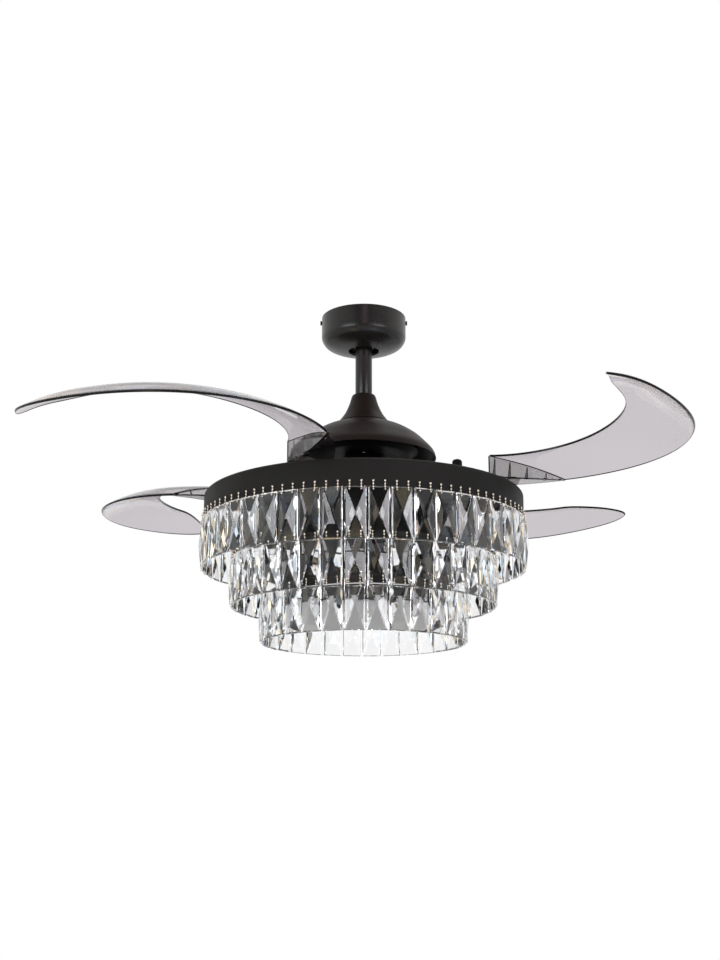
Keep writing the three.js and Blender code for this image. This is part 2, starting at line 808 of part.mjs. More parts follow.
function bladeRoot() {
  const low = edgeHeights[0] - flangeThickness / 2;
  const high = edgeHeights[0] + flangeThickness / 2;
  const convexCorner = planPoint(0.02, 0);
  const concaveCorner = planPoint(0.02, 1);
  const bridge = new THREE.Shape();
  const sideways = bladeHubRadius * 0.9;
  bridge.moveTo(pivot.x - sideways * 0.3, pivot.y + sideways);
  bridge.lineTo(convexCorner.x, convexCorner.y);
  bridge.lineTo(concaveCorner.x, concaveCorner.y);
  bridge.lineTo(pivot.x + sideways * 0.2, pivot.y - sideways);
  const parts = [
    plate(bridge, low, high),
    rod(bladeHubRadius, low, bladeHubTop).translate(pivot.x, pivot.y, 0),
    rootFlange(),
    rootWall(),
  ];
  for (let i = 0; i < ribCount; i++) parts.push(rootRib(0.9 - (0.7 * i) / (ribCount - 1)));
  return joined(parts);
}

function blade() {
  const bore = rod(postRadius + postClearance, 0, bladeHubTop + 1).translate(pivot.x, pivot.y, 0);
  return bladeSheet().add(bladeRoot()).subtract(bore);
}

const bladeBody = blade();
const bladeGearBody = bladeGear();
const postBody = pivotPost();
const springBody = returnSpring();
addPiece('blade_carrier', carrier(), finish.zinc, hanging);
addPiece('sync_gear', syncGear(), finish.nylon, hanging);
for (let k = 0; k < bladeCount; k++) {
  const turned = new THREE.Group();
  turned.rotation.z = (2 * Math.PI * k) / bladeCount;
  hanging.add(turned);
  addPiece(`blade_${k + 1}`, bladeBody, finish.smoke, turned);
  addPiece(`blade_gear_${k + 1}`, bladeGearBody, finish.nylon, turned);
  addPiece(`pivot_post_${k + 1}`, postBody, finish.black, turned);
  addPiece(`return_spring_${k + 1}`, springBody, finish.steel, turned);
}

// ---------- ring band and pan ----------

function ringBand() {
  const corner = (radius, inset) => {
    const points = [];
    for (let i = 0; i <= 2; i++) {
      const angle = (Math.PI / 2) * (i / 2);
      const x = ringRadius - ringFillet + radius * Math.cos(angle);
      points.push([x, -ringFillet + radius * Math.sin(angle) + inset]);
    }
    return points;
  };
  const outer = corner(ringFillet, 0);
  const inner = corner(ringFillet - ringWall, 0).reverse();
  return lathe([
    [ringRadius, -ringHeight],
    ...outer,
    [ringRadius - ringLip, 0],
    [ringRadius - ringLip, -ringWall],
    ...inner,
    [ringRadius - ringWall, -ringHeight],
  ], ringSegments);
}

function lightPan() {
  const rim = ringRadius - ringWall - gap;
  const skirt = panTop - 12;
  return lathe([
    [shaftRadius + gap, panTop],
    [rim, panTop],
    [rim, skirt],
    [rim - panThickness, skirt],
    [rim - panThickness, panTop - panThickness],
    [shaftRadius + gap, panTop - panThickness],
  ], ringSegments);
}

addPiece('ring_band', ringBand(), finish.charcoal, hanging);
addPiece('light_pan', lightPan(), finish.black, hanging);

// ---------- crystal tiers ----------

// A flat bar of glass with a point in the middle of its front and its back.
function crystal(radius, top) {
  const half = crystalWidth / 2;
  const edge = crystalEdgeThickness / 2;
  const low = top - crystalHeight;
  const middle = top - crystalHeight / 2;
  const corners = [];
  for (const z of [low, top]) {
    corners.push([radius - edge, -half, z], [radius + edge, -half, z]);
    corners.push([radius + edge, half, z], [radius - edge, half, z]);
  }
  const bulge = crystalMidThickness / 2;
  corners.push([radius + bulge, 0, middle], [radius - bulge, 0, middle]);
  const [front, back] = [8, 9];
  const faces = [0, 3, 2, 0, 2, 1, 4, 5, 6, 4, 6, 7, 0, 1, 5, 0, 5, 4, 2, 3, 7, 2, 7, 6];
  for (const [apex, loop] of [[front, [1, 2, 6, 5]], [back, [3, 0, 4, 7]]]) {
    loop.forEach((corner, i) => faces.push(corner, loop[(i + 1) % 4], apex));
  }
  const geometry = new THREE.BufferGeometry();
  geometry.setAttribute('position', new THREE.Float32BufferAttribute(corners.flat(), 3));
  geometry.setIndex(faces);
  return solid(geometry);
}

const onArms = (body) => Array.from({ length: tierArmCount }, (_, k) => {
  return body.rotate([0, 0, tierArmTurn + (360 * k) / tierArmCount]);
});
const tierTop = (level) => -ringHeight - gap - tierDrop * level;

// The crystals hang side by side under a thin rail, with their tops let into it.
function crystalTier(level) {
  const radius = ringRadius + 0.6 - tierInset * level;
  const top = tierTop(level);
  const count = Math.round((2 * Math.PI * radius) / crystalPitch);
  const railHalf = crystalEdgeThickness / 2 + railLip;
  const hanger = crystal(radius, top - railHeight + crystalSeat);
  const firstGap = -90 + tierTurn;
  const flatToCorner = 1 / Math.cos(Math.PI / count);
  const rail = tube((radius + railHalf) * flatToCorner, radius - railHalf, top - railHeight, top, count);
  const parts = [rail.rotate([0, 0, firstGap])];
  for (let i = 0; i < count; i++) parts.push(hanger.rotate([0, 0, firstGap + ((i + 0.5) * 360) / count]));
  if (level > 0) {
    const reach = radius - crystalEdgeThickness / 2;
    const half = tierArmWidth / 2;
    const arm = box(housingRadius + gap, reach, -half, half, top - tierArmThickness, top);
    parts.push(...onArms(arm));
  }
  return joined(parts);
}

for (let level = 0; level < tierCount; level++) {
  addPiece(`crystal_tier_${level + 1}`, crystalTier(level), finish.crystal, hanging);
}

// ---------- lamp housing ----------

const housingInner = housingRadius - sheetMetal;
const boardTop = ledgeTop - sheetMetal - gap;
const diffuserTop = boardTop - boardThickness - gap;

// The arms of the two lower tiers rest on tabs that stand out from the housing.
function lampHousing() {
  const shell = lathe([
    [housingHole, housingTop],
    [housingRadius, housingTop],
    [housingRadius, housingBottom],
    [housingInner, housingBottom],
    [housingInner, ledgeTop - sheetMetal],
    [housingInner - ledgeWidth, ledgeTop - sheetMetal],
    [housingInner - ledgeWidth, ledgeTop],
    [housingInner, ledgeTop],
    [housingInner, housingTop - sheetMetal],
    [housingHole, housingTop - sheetMetal],
  ]);
  const seats = [];
  for (let level = 1; level < tierCount; level++) {
    const top = tierTop(level) - tierArmThickness - gap;
    const half = tierArmWidth / 2 + 1;
    const low = top - tierSeatThickness;
    const seat = box(housingInner + 0.1, housingRadius + tierSeatReach, -half, half, low, top);
    seats.push(...onArms(seat));
  }
  return shell.add(joined(seats));
}

function diffuser() {
  const rim = housingInner - gap;
  const bowl = (radius, depth) => [1, 0.94, 0.7, 0.35, 0].map((share) => {
    const drop = Math.sqrt(1 - share ** 2);
    return [radius * share, diffuserTop - 4 - (depth - 4) * drop];
  });
  const inner = bowl(rim - diffuserWall, diffuserDepth - diffuserWall).reverse();
  const rimTop = [[rim - diffuserWall, diffuserTop], [rim, diffuserTop]];
  return lathe([...inner, ...rimTop, ...bowl(rim, diffuserDepth)]);
}

function shaftNut() {
  const top = housingTop - sheetMetal - gap;
  const bore = rod(shaftRadius + gap, top - nutHeight - 1, top + 1, 20);
  return rod(nutRadius, top - nutHeight, top, 6).subtract(bore);
}

function ledDriver() {
  const top = housingTop - sheetMetal - gap;
  const half = driverSize.x / 2;
  const y0 = nutRadius + 5;
  return box(-half, half, y0, y0 + driverSize.y, top - driverSize.z, top);
}

addPiece('lamp_housing', lampHousing(), finish.charcoal, hanging);
addPiece('shaft_nut', shaftNut(), finish.steel, hanging);
addPiece('led_driver', ledDriver(), finish.plastic, hanging);
const board = rod(housingInner - gap, boardTop - boardThickness, boardTop, 20);
addPiece('led_board', board, finish.aluminium, hanging);
addPiece('led_diffuser', diffuser(), finish.opal, hanging);

export default group;
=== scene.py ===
import json
import math
import random

import bmesh
import bpy
from mathutils import Matrix, Vector

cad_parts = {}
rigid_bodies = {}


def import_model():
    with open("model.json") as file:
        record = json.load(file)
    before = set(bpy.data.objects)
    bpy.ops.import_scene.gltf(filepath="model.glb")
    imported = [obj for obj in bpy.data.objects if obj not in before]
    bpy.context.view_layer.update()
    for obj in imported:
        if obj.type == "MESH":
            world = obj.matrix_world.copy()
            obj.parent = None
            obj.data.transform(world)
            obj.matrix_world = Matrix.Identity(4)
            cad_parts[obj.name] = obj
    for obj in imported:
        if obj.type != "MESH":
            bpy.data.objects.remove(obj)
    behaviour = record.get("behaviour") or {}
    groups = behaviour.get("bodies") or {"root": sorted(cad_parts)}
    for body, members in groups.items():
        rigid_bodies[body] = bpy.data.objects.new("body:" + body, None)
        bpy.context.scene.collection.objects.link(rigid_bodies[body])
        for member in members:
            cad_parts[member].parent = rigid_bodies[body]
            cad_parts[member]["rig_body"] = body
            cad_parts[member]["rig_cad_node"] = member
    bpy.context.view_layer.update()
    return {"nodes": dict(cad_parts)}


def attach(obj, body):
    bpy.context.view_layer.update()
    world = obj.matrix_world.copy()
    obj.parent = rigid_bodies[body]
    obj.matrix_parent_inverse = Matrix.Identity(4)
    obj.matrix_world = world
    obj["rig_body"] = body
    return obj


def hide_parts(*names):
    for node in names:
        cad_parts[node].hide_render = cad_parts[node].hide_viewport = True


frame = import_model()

mm = 0.001
ringTop = -319  # from the ceiling down to the top of the ring band, in mm
scene = bpy.context.scene
scene.view_settings.view_transform = "Standard"
scene.cycles.max_bounces = 32  # light goes through many crystals
scene.cycles.transmission_bounces = 32
scene.cycles.glossy_bounces = 12

# ---------- camera, floor and light ----------
print("stage: camera and studio")

camera = {"place": (0, -2.193, -0.848), "pitch": 11.46, "lens": 50.385, "shift": (-0.0039, 0.0710)}

bpy.ops.object.camera_add(location=camera["place"], rotation=(math.radians(90 + camera["pitch"]), 0, 0))
photoCamera = bpy.context.object
photoCamera.data.lens = camera["lens"]
photoCamera.data.sensor_width = 36
photoCamera.data.shift_x, photoCamera.data.shift_y = camera["shift"]
scene.camera = photoCamera

studio = {
    "floorHeight": -2.4,
    "floorSize": 14,
    "floorColor": (0.86, 0.86, 0.86, 1),
    "floorGlow": (0.3, 0.6),  # lifts the floor towards white, where it is mirrored and where it is seen
    "ambient": 0.36,
    "frontGlow": 0.06,  # how bright the room behind the camera is in a reflection
    "frontSpan": (-0.75, -0.1),
    "patchScale": 7,  # bright and dark patches of the room that a crystal throws about
    "patchGlow": (0.02, 1.5),
    "patchSpan": (0.44, 0.56),
    "patchColors": ((1.0, 0.86, 0.62, 1), (0.72, 0.86, 1.0, 1)),
    "softboxes": [  # place, width, height, watts, color
        ((-1.92, -2.35, 0.1), 1.9, 0.95, 34, (0.94, 0.96, 1.0)),
        ((1.92, -2.35, 0.1), 1.8, 0.9, 27, (0.99, 0.95, 1.0)),
        ((0.5, 0.9, 2.4), 1.8, 1.8, 9, (1.0, 1.0, 1.0)),
        # small coloured lamps, for the glints in the crystals
        ((-0.95, -1.6, -1.8), 0.45, 0.45, 2.6, (1.0, 0.72, 0.38)),
        ((1.0, -1.5, -1.7), 0.45, 0.45, 2.6, (0.42, 0.64, 1.0)),
        ((0.15, -2.6, 1.0), 0.4, 0.4, 2.2, (1.0, 0.62, 0.8)),
    ],
    "aim": Vector((0, 0, -0.32)),
}


def addNode(tree, kind, links=(), **settings):
    # a node with its settings, and what feeds each of its sockets
    node = tree.nodes.new(kind)
    for label, value in settings.items():
        setattr(node, label, value)
    for socket, source in links:
        if isinstance(source, bpy.types.NodeSocket):
            tree.links.new(source, node.inputs[socket])
        else:
            node.inputs[socket].default_value = source
    return node


def addRange(tree, value, low, high, span=(0, 1), kind="LINEAR"):
    node = addNode(tree, "ShaderNodeMapRange", (
        ("Value", value), ("From Min", span[0]), ("From Max", span[1]), ("To Min", low), ("To Max", high),
    ), interpolation_type=kind)
    return node.outputs["Result"]


def addMix(tree, factor, first, second):
    # sockets 6 and 7 are the two colors
    return addNode(tree, "ShaderNodeMix", ((0, factor), (6, first), (7, second)), data_type="RGBA").outputs[2]


def buildWorld():
    # white wherever it is seen, and dim on the camera's side where it is only mirrored
    world = bpy.data.worlds.new("whiteStudio")
    scene.world = world
    world.use_nodes = True
    tree = world.node_tree
    background = tree.nodes["Background"]
    path = tree.nodes.new("ShaderNodeLightPath").outputs
    place = tree.nodes.new("ShaderNodeTexCoord").outputs["Generated"]

    def blend(factor, low, high, span=(0, 1)):
        return addRange(tree, factor, low, high, span, "SMOOTHSTEP")

    def combined(operation, first, second, **settings):
        return addNode(tree, "ShaderNodeMath", ((0, first), (1, second)), operation=operation, **settings)

    depth = addNode(tree, "ShaderNodeSeparateXYZ", ((0, place),)).outputs["Y"]
    mirrored = blend(depth, studio["frontGlow"], 1, studio["frontSpan"])
    strength = blend(path["Is Glossy Ray"], studio["ambient"], mirrored)
    # light that was thrown about inside a crystal comes from a room of bright and dark patches
    patches = addNode(tree, "ShaderNodeTexNoise",
                      (("Vector", place), ("Scale", studio["patchScale"]))).outputs
    room = blend(patches["Fac"], *studio["patchGlow"], studio["patchSpan"])
    strength = blend(path["Is Transmission Ray"], strength, room)
    # light that went straight through glass has one bounce more than passes through its faces
    straight = combined("COMPARE", path["Ray Depth"], path["Transmission Depth"])
    straight.inputs[2].default_value = 1.1
    through = combined("MULTIPLY", straight.outputs[0], path["Is Transmission Ray"]).outputs[0]
    thrown = combined("SUBTRACT", path["Is Transmission Ray"], through).outputs[0]
    green = addNode(tree, "ShaderNodeSeparateColor", ((0, patches["Color"]),)).outputs["Green"]
    hues = addMix(tree, blend(green, 0, 1, studio["patchSpan"]), *studio["patchColors"])
    tree.links.new(addMix(tree, thrown, (1, 1, 1, 1), hues), background.inputs["Color"])
    for ray in (through, path["Is Camera Ray"]):
        strength = blend(ray, strength, 1)
    tree.links.new(strength, background.inputs["Strength"])


def buildFloor():
    bpy.ops.mesh.primitive_plane_add(size=studio["floorSize"], location=(0, 0, studio["floorHeight"]))
    floor = bpy.context.object
    floor.name = "floor"
    material = bpy.data.materials.new("paleFloor")
    material.use_nodes = True
    shader = material.node_tree.nodes["Principled BSDF"]
    shader.inputs["Base Color"].default_value = studio["floorColor"]
    shader.inputs["Roughness"].default_value = 0.9
    tree = material.node_tree
    path = tree.nodes.new("ShaderNodeLightPath").outputs
    lift = addRange(tree, path["Is Camera Ray"], *studio["floorGlow"])
    shader.inputs["Emission Color"].default_value = (1, 1, 1, 1)
    tree.links.new(addRange(tree, path["Is Diffuse Ray"], lift, 0), shader.inputs["Emission Strength"])
    floor.data.materials.append(material)


def buildSoftboxes():
    for place, width, height, watts, color in studio["softboxes"]:
        toAim = studio["aim"] - Vector(place)
        facing = toAim.to_track_quat("-Z", "Y").to_euler()
        bpy.ops.object.light_add(type="AREA", location=place, rotation=facing)
        lamp = bpy.context.object.data
        lamp.shape = "RECTANGLE"
        lamp.size = width
        lamp.size_y = height
        lamp.energy = watts
        lamp.color = color


buildWorld()
buildFloor()
buildSoftboxes()

# ---------- shader groups ----------
print("stage: materials")


def shaderGroup(name, inputs):
    # every group gives a color, a roughness and a normal
    group = bpy.data.node_groups.new(name, "ShaderNodeTree")
    for label, value in inputs.items():
        kind = "NodeSocketColor" if isinstance(value, tuple) else "NodeSocketFloat"
        group.interface.new_socket(name=label, in_out="INPUT", socket_type=kind).default_value = value
    for label, kind in (("Color", "Color"), ("Roughness", "Float"), ("Normal", "Vector")):
        group.interface.new_socket(name=label, in_out="OUTPUT", socket_type="NodeSocket" + kind)
    return group, group.nodes.new("NodeGroupInput").outputs, group.nodes.new("NodeGroupOutput")


def noiseIn(group, scale, detail=4, stretch=None):
    # a noise on the object's own coordinates, at the scale of one of the group's inputs
    source = group.nodes.new("ShaderNodeTexCoord").outputs["Object"]
    if stretch:
        source = addNode(group, "ShaderNodeMapping",
                         (("Vector", source), ("Scale", stretch))).outputs["Vector"]
    noise = addNode(group, "ShaderNodeTexNoise", (("Vector", source), ("Scale", scale), ("Detail", detail)))
    return noise.outputs["Fac"]


noiseSpan = (0.3, 0.7)  # where nearly all of a noise's values lie


def finishGroup(group, start, end, color, wear, height, strength, distance):
    # the roughness follows one noise, and the bump another
    bump = addNode(group, "ShaderNodeBump",
                   (("Height", height), ("Strength", strength), ("Distance", distance)))
    rough = addRange(group, wear, start["Roughness Low"], start["Roughness High"], noiseSpan)
    for label, source in (("Color", color), ("Roughness", rough), ("Normal", bump.outputs["Normal"])):
        group.links.new(source, end.inputs[label])
    return group


def buildPaintGroup():
    # a sprayed coat: cloudy tone, fine grain that can be felt, and a painted highlight that lightens sharp
    # edges
    group, start, end = shaderGroup("sprayedCoat", {
        "Color": (0.02, 0.02, 0.02, 1),
        "Cloud Color": (0.03, 0.03, 0.03, 1),
        "Edge Color": (0.08, 0.07, 0.06, 1),
        "Cloud Scale": 18,
        "Grain Scale": 900,
        "Grain Strength": 0.2,
        "Roughness Low": 0.3,
        "Roughness High": 0.45,
    })
    clouds = noiseIn(group, start["Cloud Scale"])
    grain = noiseIn(group, start["Grain Scale"], 2)
    body = addMix(group, addRange(group, clouds, 0, 1, noiseSpan), start["Color"], start["Cloud Color"])
    # sharp edges are lightened towards the edge colour: a painted highlight
    pointiness = group.nodes.new("ShaderNodeNewGeometry").outputs["Pointiness"]
    edgeHighlighted = addMix(group, addRange(group, pointiness, 0, 0.7, (0.53, 0.6)), body, start["Edge Color"])
    return finishGroup(group, start, end, edgeHighlighted, clouds, grain, start["Grain Strength"], 0.0002)


def buildMetalGroup():
    # bare or plated metal: drawn streaks along one direction over a patchy tone
    group, start, end = shaderGroup("drawnMetal", {
        "Color": (0.6, 0.6, 0.6, 1),
        "Patch Color": (0.5, 0.5, 0.5, 1),
        "Patch Scale": 60,
        "Streak Scale": 300,
        "Streak Strength": 0.1,
        "Roughness Low": 0.2,
        "Roughness High": 0.35,
    })
    patches = noiseIn(group, start["Patch Scale"], 3)
    streaks = noiseIn(group, start["Streak Scale"], 3, (1, 1, 12))
    body = addMix(group, addRange(group, patches, 0, 1, noiseSpan), start["Color"], start["Patch Color"])
    return finishGroup(group, start, end, body, streaks, streaks, start["Streak Strength"], 0.0001)


def buildMouldGroup():
    # moulded plastic: an even tone with faint flow marks and a fine spark-eroded grain
    group, start, end = shaderGroup("mouldedSkin", {
        "Color": (0.8, 0.8, 0.8, 1),
        "Flow Color": (0.7, 0.7, 0.7, 1),
        "Flow Scale": 30,
        "Grain Scale": 1500,
        "Grain Strength": 0.15,
        "Roughness Low": 0.4,
        "Roughness High": 0.55,
    })
    flow = noiseIn(group, start["Flow Scale"], 1, (1, 1, 3))
    grain = noiseIn(group, start["Grain Scale"], 1)
    body = addMix(group, addRange(group, flow, 0, 1, noiseSpan), start["Color"], start["Flow Color"])
    return finishGroup(group, start, end, body, grain, grain, start["Grain Strength"], 0.0001)


groups = {"coat": buildPaintGroup(), "metal": buildMetalGroup(), "mould": buildMouldGroup()}


def grey(level, tint=(1, 1, 1)):
    return (level * tint[0], level * tint[1], level * tint[2], 1)


def makeMaterial(name, groupName, groupValues, **shaderValues):
    material = bpy.data.materials.new(name)
    material.use_nodes = True
    tree = material.node_tree
    shader = tree.nodes["Principled BSDF"]
    for label, value in shaderValues.items():
        shader.inputs[label.replace("_", " ")].default_value = value
    node = addNode(tree, "ShaderNodeGroup", node_tree=groups[groupName])
    for label, value in groupValues.items():
        node.inputs[label].default_value = value
    for label, socket in (("Color", "Base Color"), ("Roughness", "Roughness"), ("Normal", "Normal")):
        tree.links.new(node.outputs[label], shader.inputs[socket])
    return material


bronzeTint = (1.12, 0.98, 0.88)
brownTint = (1.5, 0.95, 0.8)
charcoalTint = (1.05, 1, 0.9)
# each paint's edge colour is a painted highlight on its sharp edges
finish = {
    "bronze": makeMaterial("bronzePaint", "coat", {
        "Color": grey(0.0125, bronzeTint), "Cloud Color": grey(0.0155, bronzeTint),
        "Edge Color": grey(0.04, bronzeTint), "Grain Scale": 1400, "Grain Strength": 0.1,
        "Roughness Low": 0.26, "Roughness High": 0.33,
    }, Specular_IOR_Level=0.35),
    "brown": makeMaterial("brownBronzePaint", "coat", {
        "Color": grey(0.0085, brownTint), "Cloud Color": grey(0.011, brownTint),
        "Edge Color": grey(0.03, brownTint), "Grain Scale": 1400, "Grain Strength": 0.1,
        "Roughness Low": 0.42, "Roughness High": 0.5,
    }, Specular_IOR_Level=0.13),
    "charcoal": makeMaterial("charcoalPaint", "coat", {
        "Color": grey(0.0115, charcoalTint), "Cloud Color": grey(0.0145, charcoalTint),
        "Edge Color": grey(0.035), "Grain Scale": 1100, "Grain Strength": 0.55,
        "Roughness Low": 0.55, "Roughness High": 0.7,
    }, Specular_IOR_Level=0.18),
    "black": makeMaterial("blackPaint", "coat", {
        "Color": grey(0.004), "Cloud Color": grey(0.006), "Edge Color": grey(0.05),
        "Grain Strength": 0.1, "Roughness Low": 0.5, "Roughness High": 0.6,
    }, Specular_IOR_Level=0.12),
    "zinc": makeMaterial("zincPlate", "metal", {
        "Color": (0.56, 0.57, 0.58, 1), "Patch Color": (0.44, 0.45, 0.47, 1),
        "Roughness Low": 0.3, "Roughness High": 0.45,
    }, Metallic=1),
    "steel": makeMaterial("brightSteel", "metal", {
        "Color": (0.72, 0.72, 0.73, 1), "Patch Color": (0.66, 0.66, 0.67, 1), "Streak Strength": 0.04,
        "Roughness Low": 0.12, "Roughness High": 0.2,
    }, Metallic=1),
    "silver": makeMaterial("silverBeads", "metal", {
        "Color": (0.88, 0.82, 0.72, 1), "Patch Color": (0.8, 0.72, 0.6, 1), "Streak Strength": 0,
        "Roughness Low": 0.08, "Roughness High": 0.14,
    }, Metallic=1),
    "copper": makeMaterial("copperWire", "metal", {
        "Color": (0.5, 0.19, 0.08, 1), "Patch Color": (0.42, 0.15, 0.06, 1), "Streak Scale": 900,
        "Streak Strength": 0.8,
    }, Metallic=1),
    "iron": makeMaterial("laminatedIron", "metal", {
        "Color": (0.07, 0.07, 0.075, 1), "Patch Color": (0.1, 0.09, 0.09, 1), "Streak Scale": 500,
        "Streak Strength": 0.5, "Roughness Low": 0.4, "Roughness High": 0.6,
    }, Metallic=0.8),
    "aluminium": makeMaterial("plainAluminium", "metal", {
        "Color": (0.6, 0.61, 0.62, 1), "Patch Color": (0.52, 0.53, 0.54, 1),
        "Roughness Low": 0.3, "Roughness High": 0.42,
    }, Metallic=1),
    "plastic": makeMaterial("blackPlastic", "mould", {
        "Color": grey(0.014), "Flow Color": grey(0.018), "Roughness Low": 0.4, "Roughness High": 0.5,
    }),
    "ballPlastic": makeMaterial("greyPlastic", "mould", {
        "Color": grey(0.09), "Flow Color": grey(0.1), "Roughness Low": 0.25, "Roughness High": 0.35,
    }),
    "nylon": makeMaterial("nylon", "mould", {
        "Color": (0.7, 0.67, 0.6, 1), "Flow Color": (0.66, 0.62, 0.55, 1),
    }, Subsurface_Weight=0.15, Subsurface_Radius=(0.003, 0.002, 0.0015)),
    "opal": makeMaterial("opalDiffuser", "mould", {
        "Color": (0.5, 0.5, 0.49, 1), "Flow Color": (0.46, 0.46, 0.45, 1), "Grain Strength": 0.05,
        "Roughness Low": 0.3, "Roughness High": 0.4,
    }, Subsurface_Weight=0.3, Subsurface_Radius=(0.01, 0.01, 0.01)),
    "smoke": makeMaterial("smokePlastic", "mould", {
        "Color": (0.61, 0.575, 0.605, 1), "Flow Color": (0.59, 0.555, 0.585, 1), "Flow Scale": 6,
        "Grain Strength": 0.0, "Roughness Low": 0.05, "Roughness High": 0.07,
    }, Transmission_Weight=1, IOR=1.25),
    "smokeRoot": makeMaterial("smokeRoot", "mould", {
        "Color": (0.34, 0.325, 0.335, 1), "Flow Color": (0.3, 0.285, 0.295, 1), "Flow Scale": 6,
        "Grain Strength": 0.0, "Roughness Low": 0.05, "Roughness High": 0.07,
    }, Transmission_Weight=1, IOR=1.4),
    # the blade's clear rim, painted near-black: painted shade for the darkness a clear edge shows edge-on
    "smokeRimShade": makeMaterial("smokeRimShade", "mould", {
        "Color": grey(0.003), "Flow Color": grey(0.005), "Grain Strength": 0.0,
        "Roughness Low": 0.16, "Roughness High": 0.24,
    }, Specular_IOR_Level=0.2),
    "crystal": makeMaterial("crystal", "mould", {
        "Color": (0.99, 0.99, 0.995, 1), "Flow Color": (0.97, 0.975, 0.985, 1), "Grain Strength": 0.0,
        "Roughness Low": 0.0, "Roughness High": 0.004,
    }, Transmission_Weight=1, IOR=1.58),
}

# ---------- modelling helpers ----------


def deselectAll():
    if bpy.context.object and bpy.context.object.mode != "OBJECT":
        bpy.ops.object.mode_set(mode="OBJECT")
    bpy.ops.object.select_all(action="DESELECT")


def makeActive(piece):
    deselectAll()
    piece.select_set(True)
    bpy.context.view_layer.objects.active = piece


def pickFaces(piece, wanted):
    # selects only the faces that pass, in edit mode
    mesh = bmesh.from_edit_mesh(piece.data)
    bpy.ops.mesh.select_mode(type="FACE")
    bpy.ops.mesh.select_all(action="DESELECT")
    for face in mesh.faces:
        face.select_set(wanted(face))
    bmesh.update_edit_mesh(piece.data)


def modify(piece, kind, **settings):
    makeActive(piece)
    bpy.ops.object.modifier_add(type=kind)
    modifier = piece.modifiers[-1]
    for label, value in settings.items():
        setattr(modifier, label, value)
    bpy.ops.object.modifier_apply(modifier=modifier.name)


def softenEdges(piece, width, segments=2, degrees=40):
    modify(piece, "BEVEL", width=width * mm, segments=segments, limit_method="ANGLE",
           angle_limit=math.radians(degrees))


def smoothLine(points, count):
    # a Catmull-Rom curve through the points
    line = []
    last = len(points) - 1
    for i in range(count + 1):
        k = min(int(last * i / count), last - 1)
        w = last * i / count - k
        a, b, c, d = (Vector(points[min(max(k + step, 0), last)]) for step in (-1, 0, 1, 2))
        v0, v1 = (c - a) / 2, (d - b) / 2
        cubic, square = 2 * b - 2 * c + v0 + v1, 3 * c - 3 * b - 2 * v0 - v1
        line.append(tuple(cubic * w ** 3 + square * w ** 2 + v0 * w + b))
    return line


def walled(outer, wall):
    # the outer line from its top down, and back up inside the sheet metal
    inner = []
    for i, (r, z) in enumerate(outer):
        r0, z0 = outer[max(i - 1, 0)]
        r1, z1 = outer[min(i + 1, len(outer) - 1)]
        dr, dz = r1 - r0, z1 - z0
        length = math.hypot(dr, dz)
        if 0 < i < len(outer) - 1:
            inner.append((r + wall * dz / length, z - wall * dr / length))
        elif abs(dz) > abs(dr):
            inner.append((r + wall * length / dz, z))
        else:
            inner.append((r, z - wall * length / dr))
    return outer + inner[::-1]


def turned(profile, segments=96, isOpen=True, drop=ringTop):
    # a ring of edges is extruded down the profile, then bridged to its start, or capped at both ends
    deselectAll()
    r, z = profile[0]
    bpy.ops.mesh.primitive_circle_add(vertices=segments, radius=r * mm, location=(0, 0, (z + drop) * mm))
    piece = bpy.context.object
    bpy.ops.object.mode_set(mode="EDIT")
    bpy.ops.mesh.select_mode(type="VERT")
    bpy.ops.mesh.select_all(action="SELECT")
    for r1, z1 in profile[1:]:
        bpy.ops.mesh.extrude_edges_move(TRANSFORM_OT_translate={"value": (0, 0, (z1 - z) * mm)})
        bpy.ops.transform.resize(value=(r1 / r, r1 / r, 1), center_override=(0, 0, (z1 + drop) * mm))
        r, z = r1, z1
    bpy.ops.mesh.select_all(action="DESELECT")
    bpy.ops.mesh.select_non_manifold()
    if isOpen:
        bpy.ops.mesh.bridge_edge_loops()
    else:
        bpy.ops.mesh.fill_holes(sides=0)
    bpy.ops.mesh.select_all(action="SELECT")
    bpy.ops.mesh.normals_make_consistent(inside=False)
    bpy.ops.object.mode_set(mode="OBJECT")
    return piece


def refined(node, width, segments=2, degrees=40):
    # the CAD node's own shape, with its sharp edges broken
    source = frame["nodes"][node]
    piece = source.copy()
    piece.data = source.data.copy()
    scene.collection.objects.link(piece)
    piece.parent = None
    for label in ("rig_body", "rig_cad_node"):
        del piece[label]
    makeActive(piece)
    bpy.ops.mesh.customdata_custom_splitnormals_clear()
    bpy.ops.object.mode_set(mode="EDIT")
    bpy.ops.mesh.select_all(action="SELECT")
    bpy.ops.mesh.remove_doubles(threshold=1e-6)
    bpy.ops.mesh.dissolve_limited(angle_limit=math.radians(0.5))
    bpy.ops.object.mode_set(mode="OBJECT")
    softenEdges(piece, width, segments, degrees)
    return piece


def turnedBy(degrees, axis="Z"):
    return Matrix.Rotation(math.radians(degrees), 4, axis)


def joinPieces(pieces):
    deselectAll()
    for piece in pieces:
        piece.select_set(True)
    bpy.context.view_layer.objects.active = pieces[0]
    if len(pieces) > 1:
        bpy.ops.object.join()
    return bpy.context.object


def copied(piece, turn=0):
    twin = piece.copy()
    twin.data = piece.data.copy()
    scene.collection.objects.link(twin)
    twin.matrix_world = turnedBy(turn) @ piece.matrix_world
    return twin


def fourAround(piece):
    return [piece] + [copied(piece, 90 * k) for k in (1, 2, 3)]


def settle(piece, name, body, looks, nodes=(), smooth=35):
    # places the finished piece on its body, with its finish
    makeActive(piece)
    bpy.ops.object.transform_apply(location=True, rotation=True, scale=True)
    bpy.ops.object.shade_smooth_by_angle(angle=math.radians(smooth))
    piece.name = name
    looks = looks if isinstance(looks, (list, tuple)) else [looks]
    if len(looks) == 1 or not piece.data.materials:
        piece.data.materials.clear()
        for look in looks:
            piece.data.materials.append(finish[look])
    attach(piece, body)
    if nodes:
        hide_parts(*nodes)


def bodyOf(node):
    return frame["nodes"][node]["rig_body"]


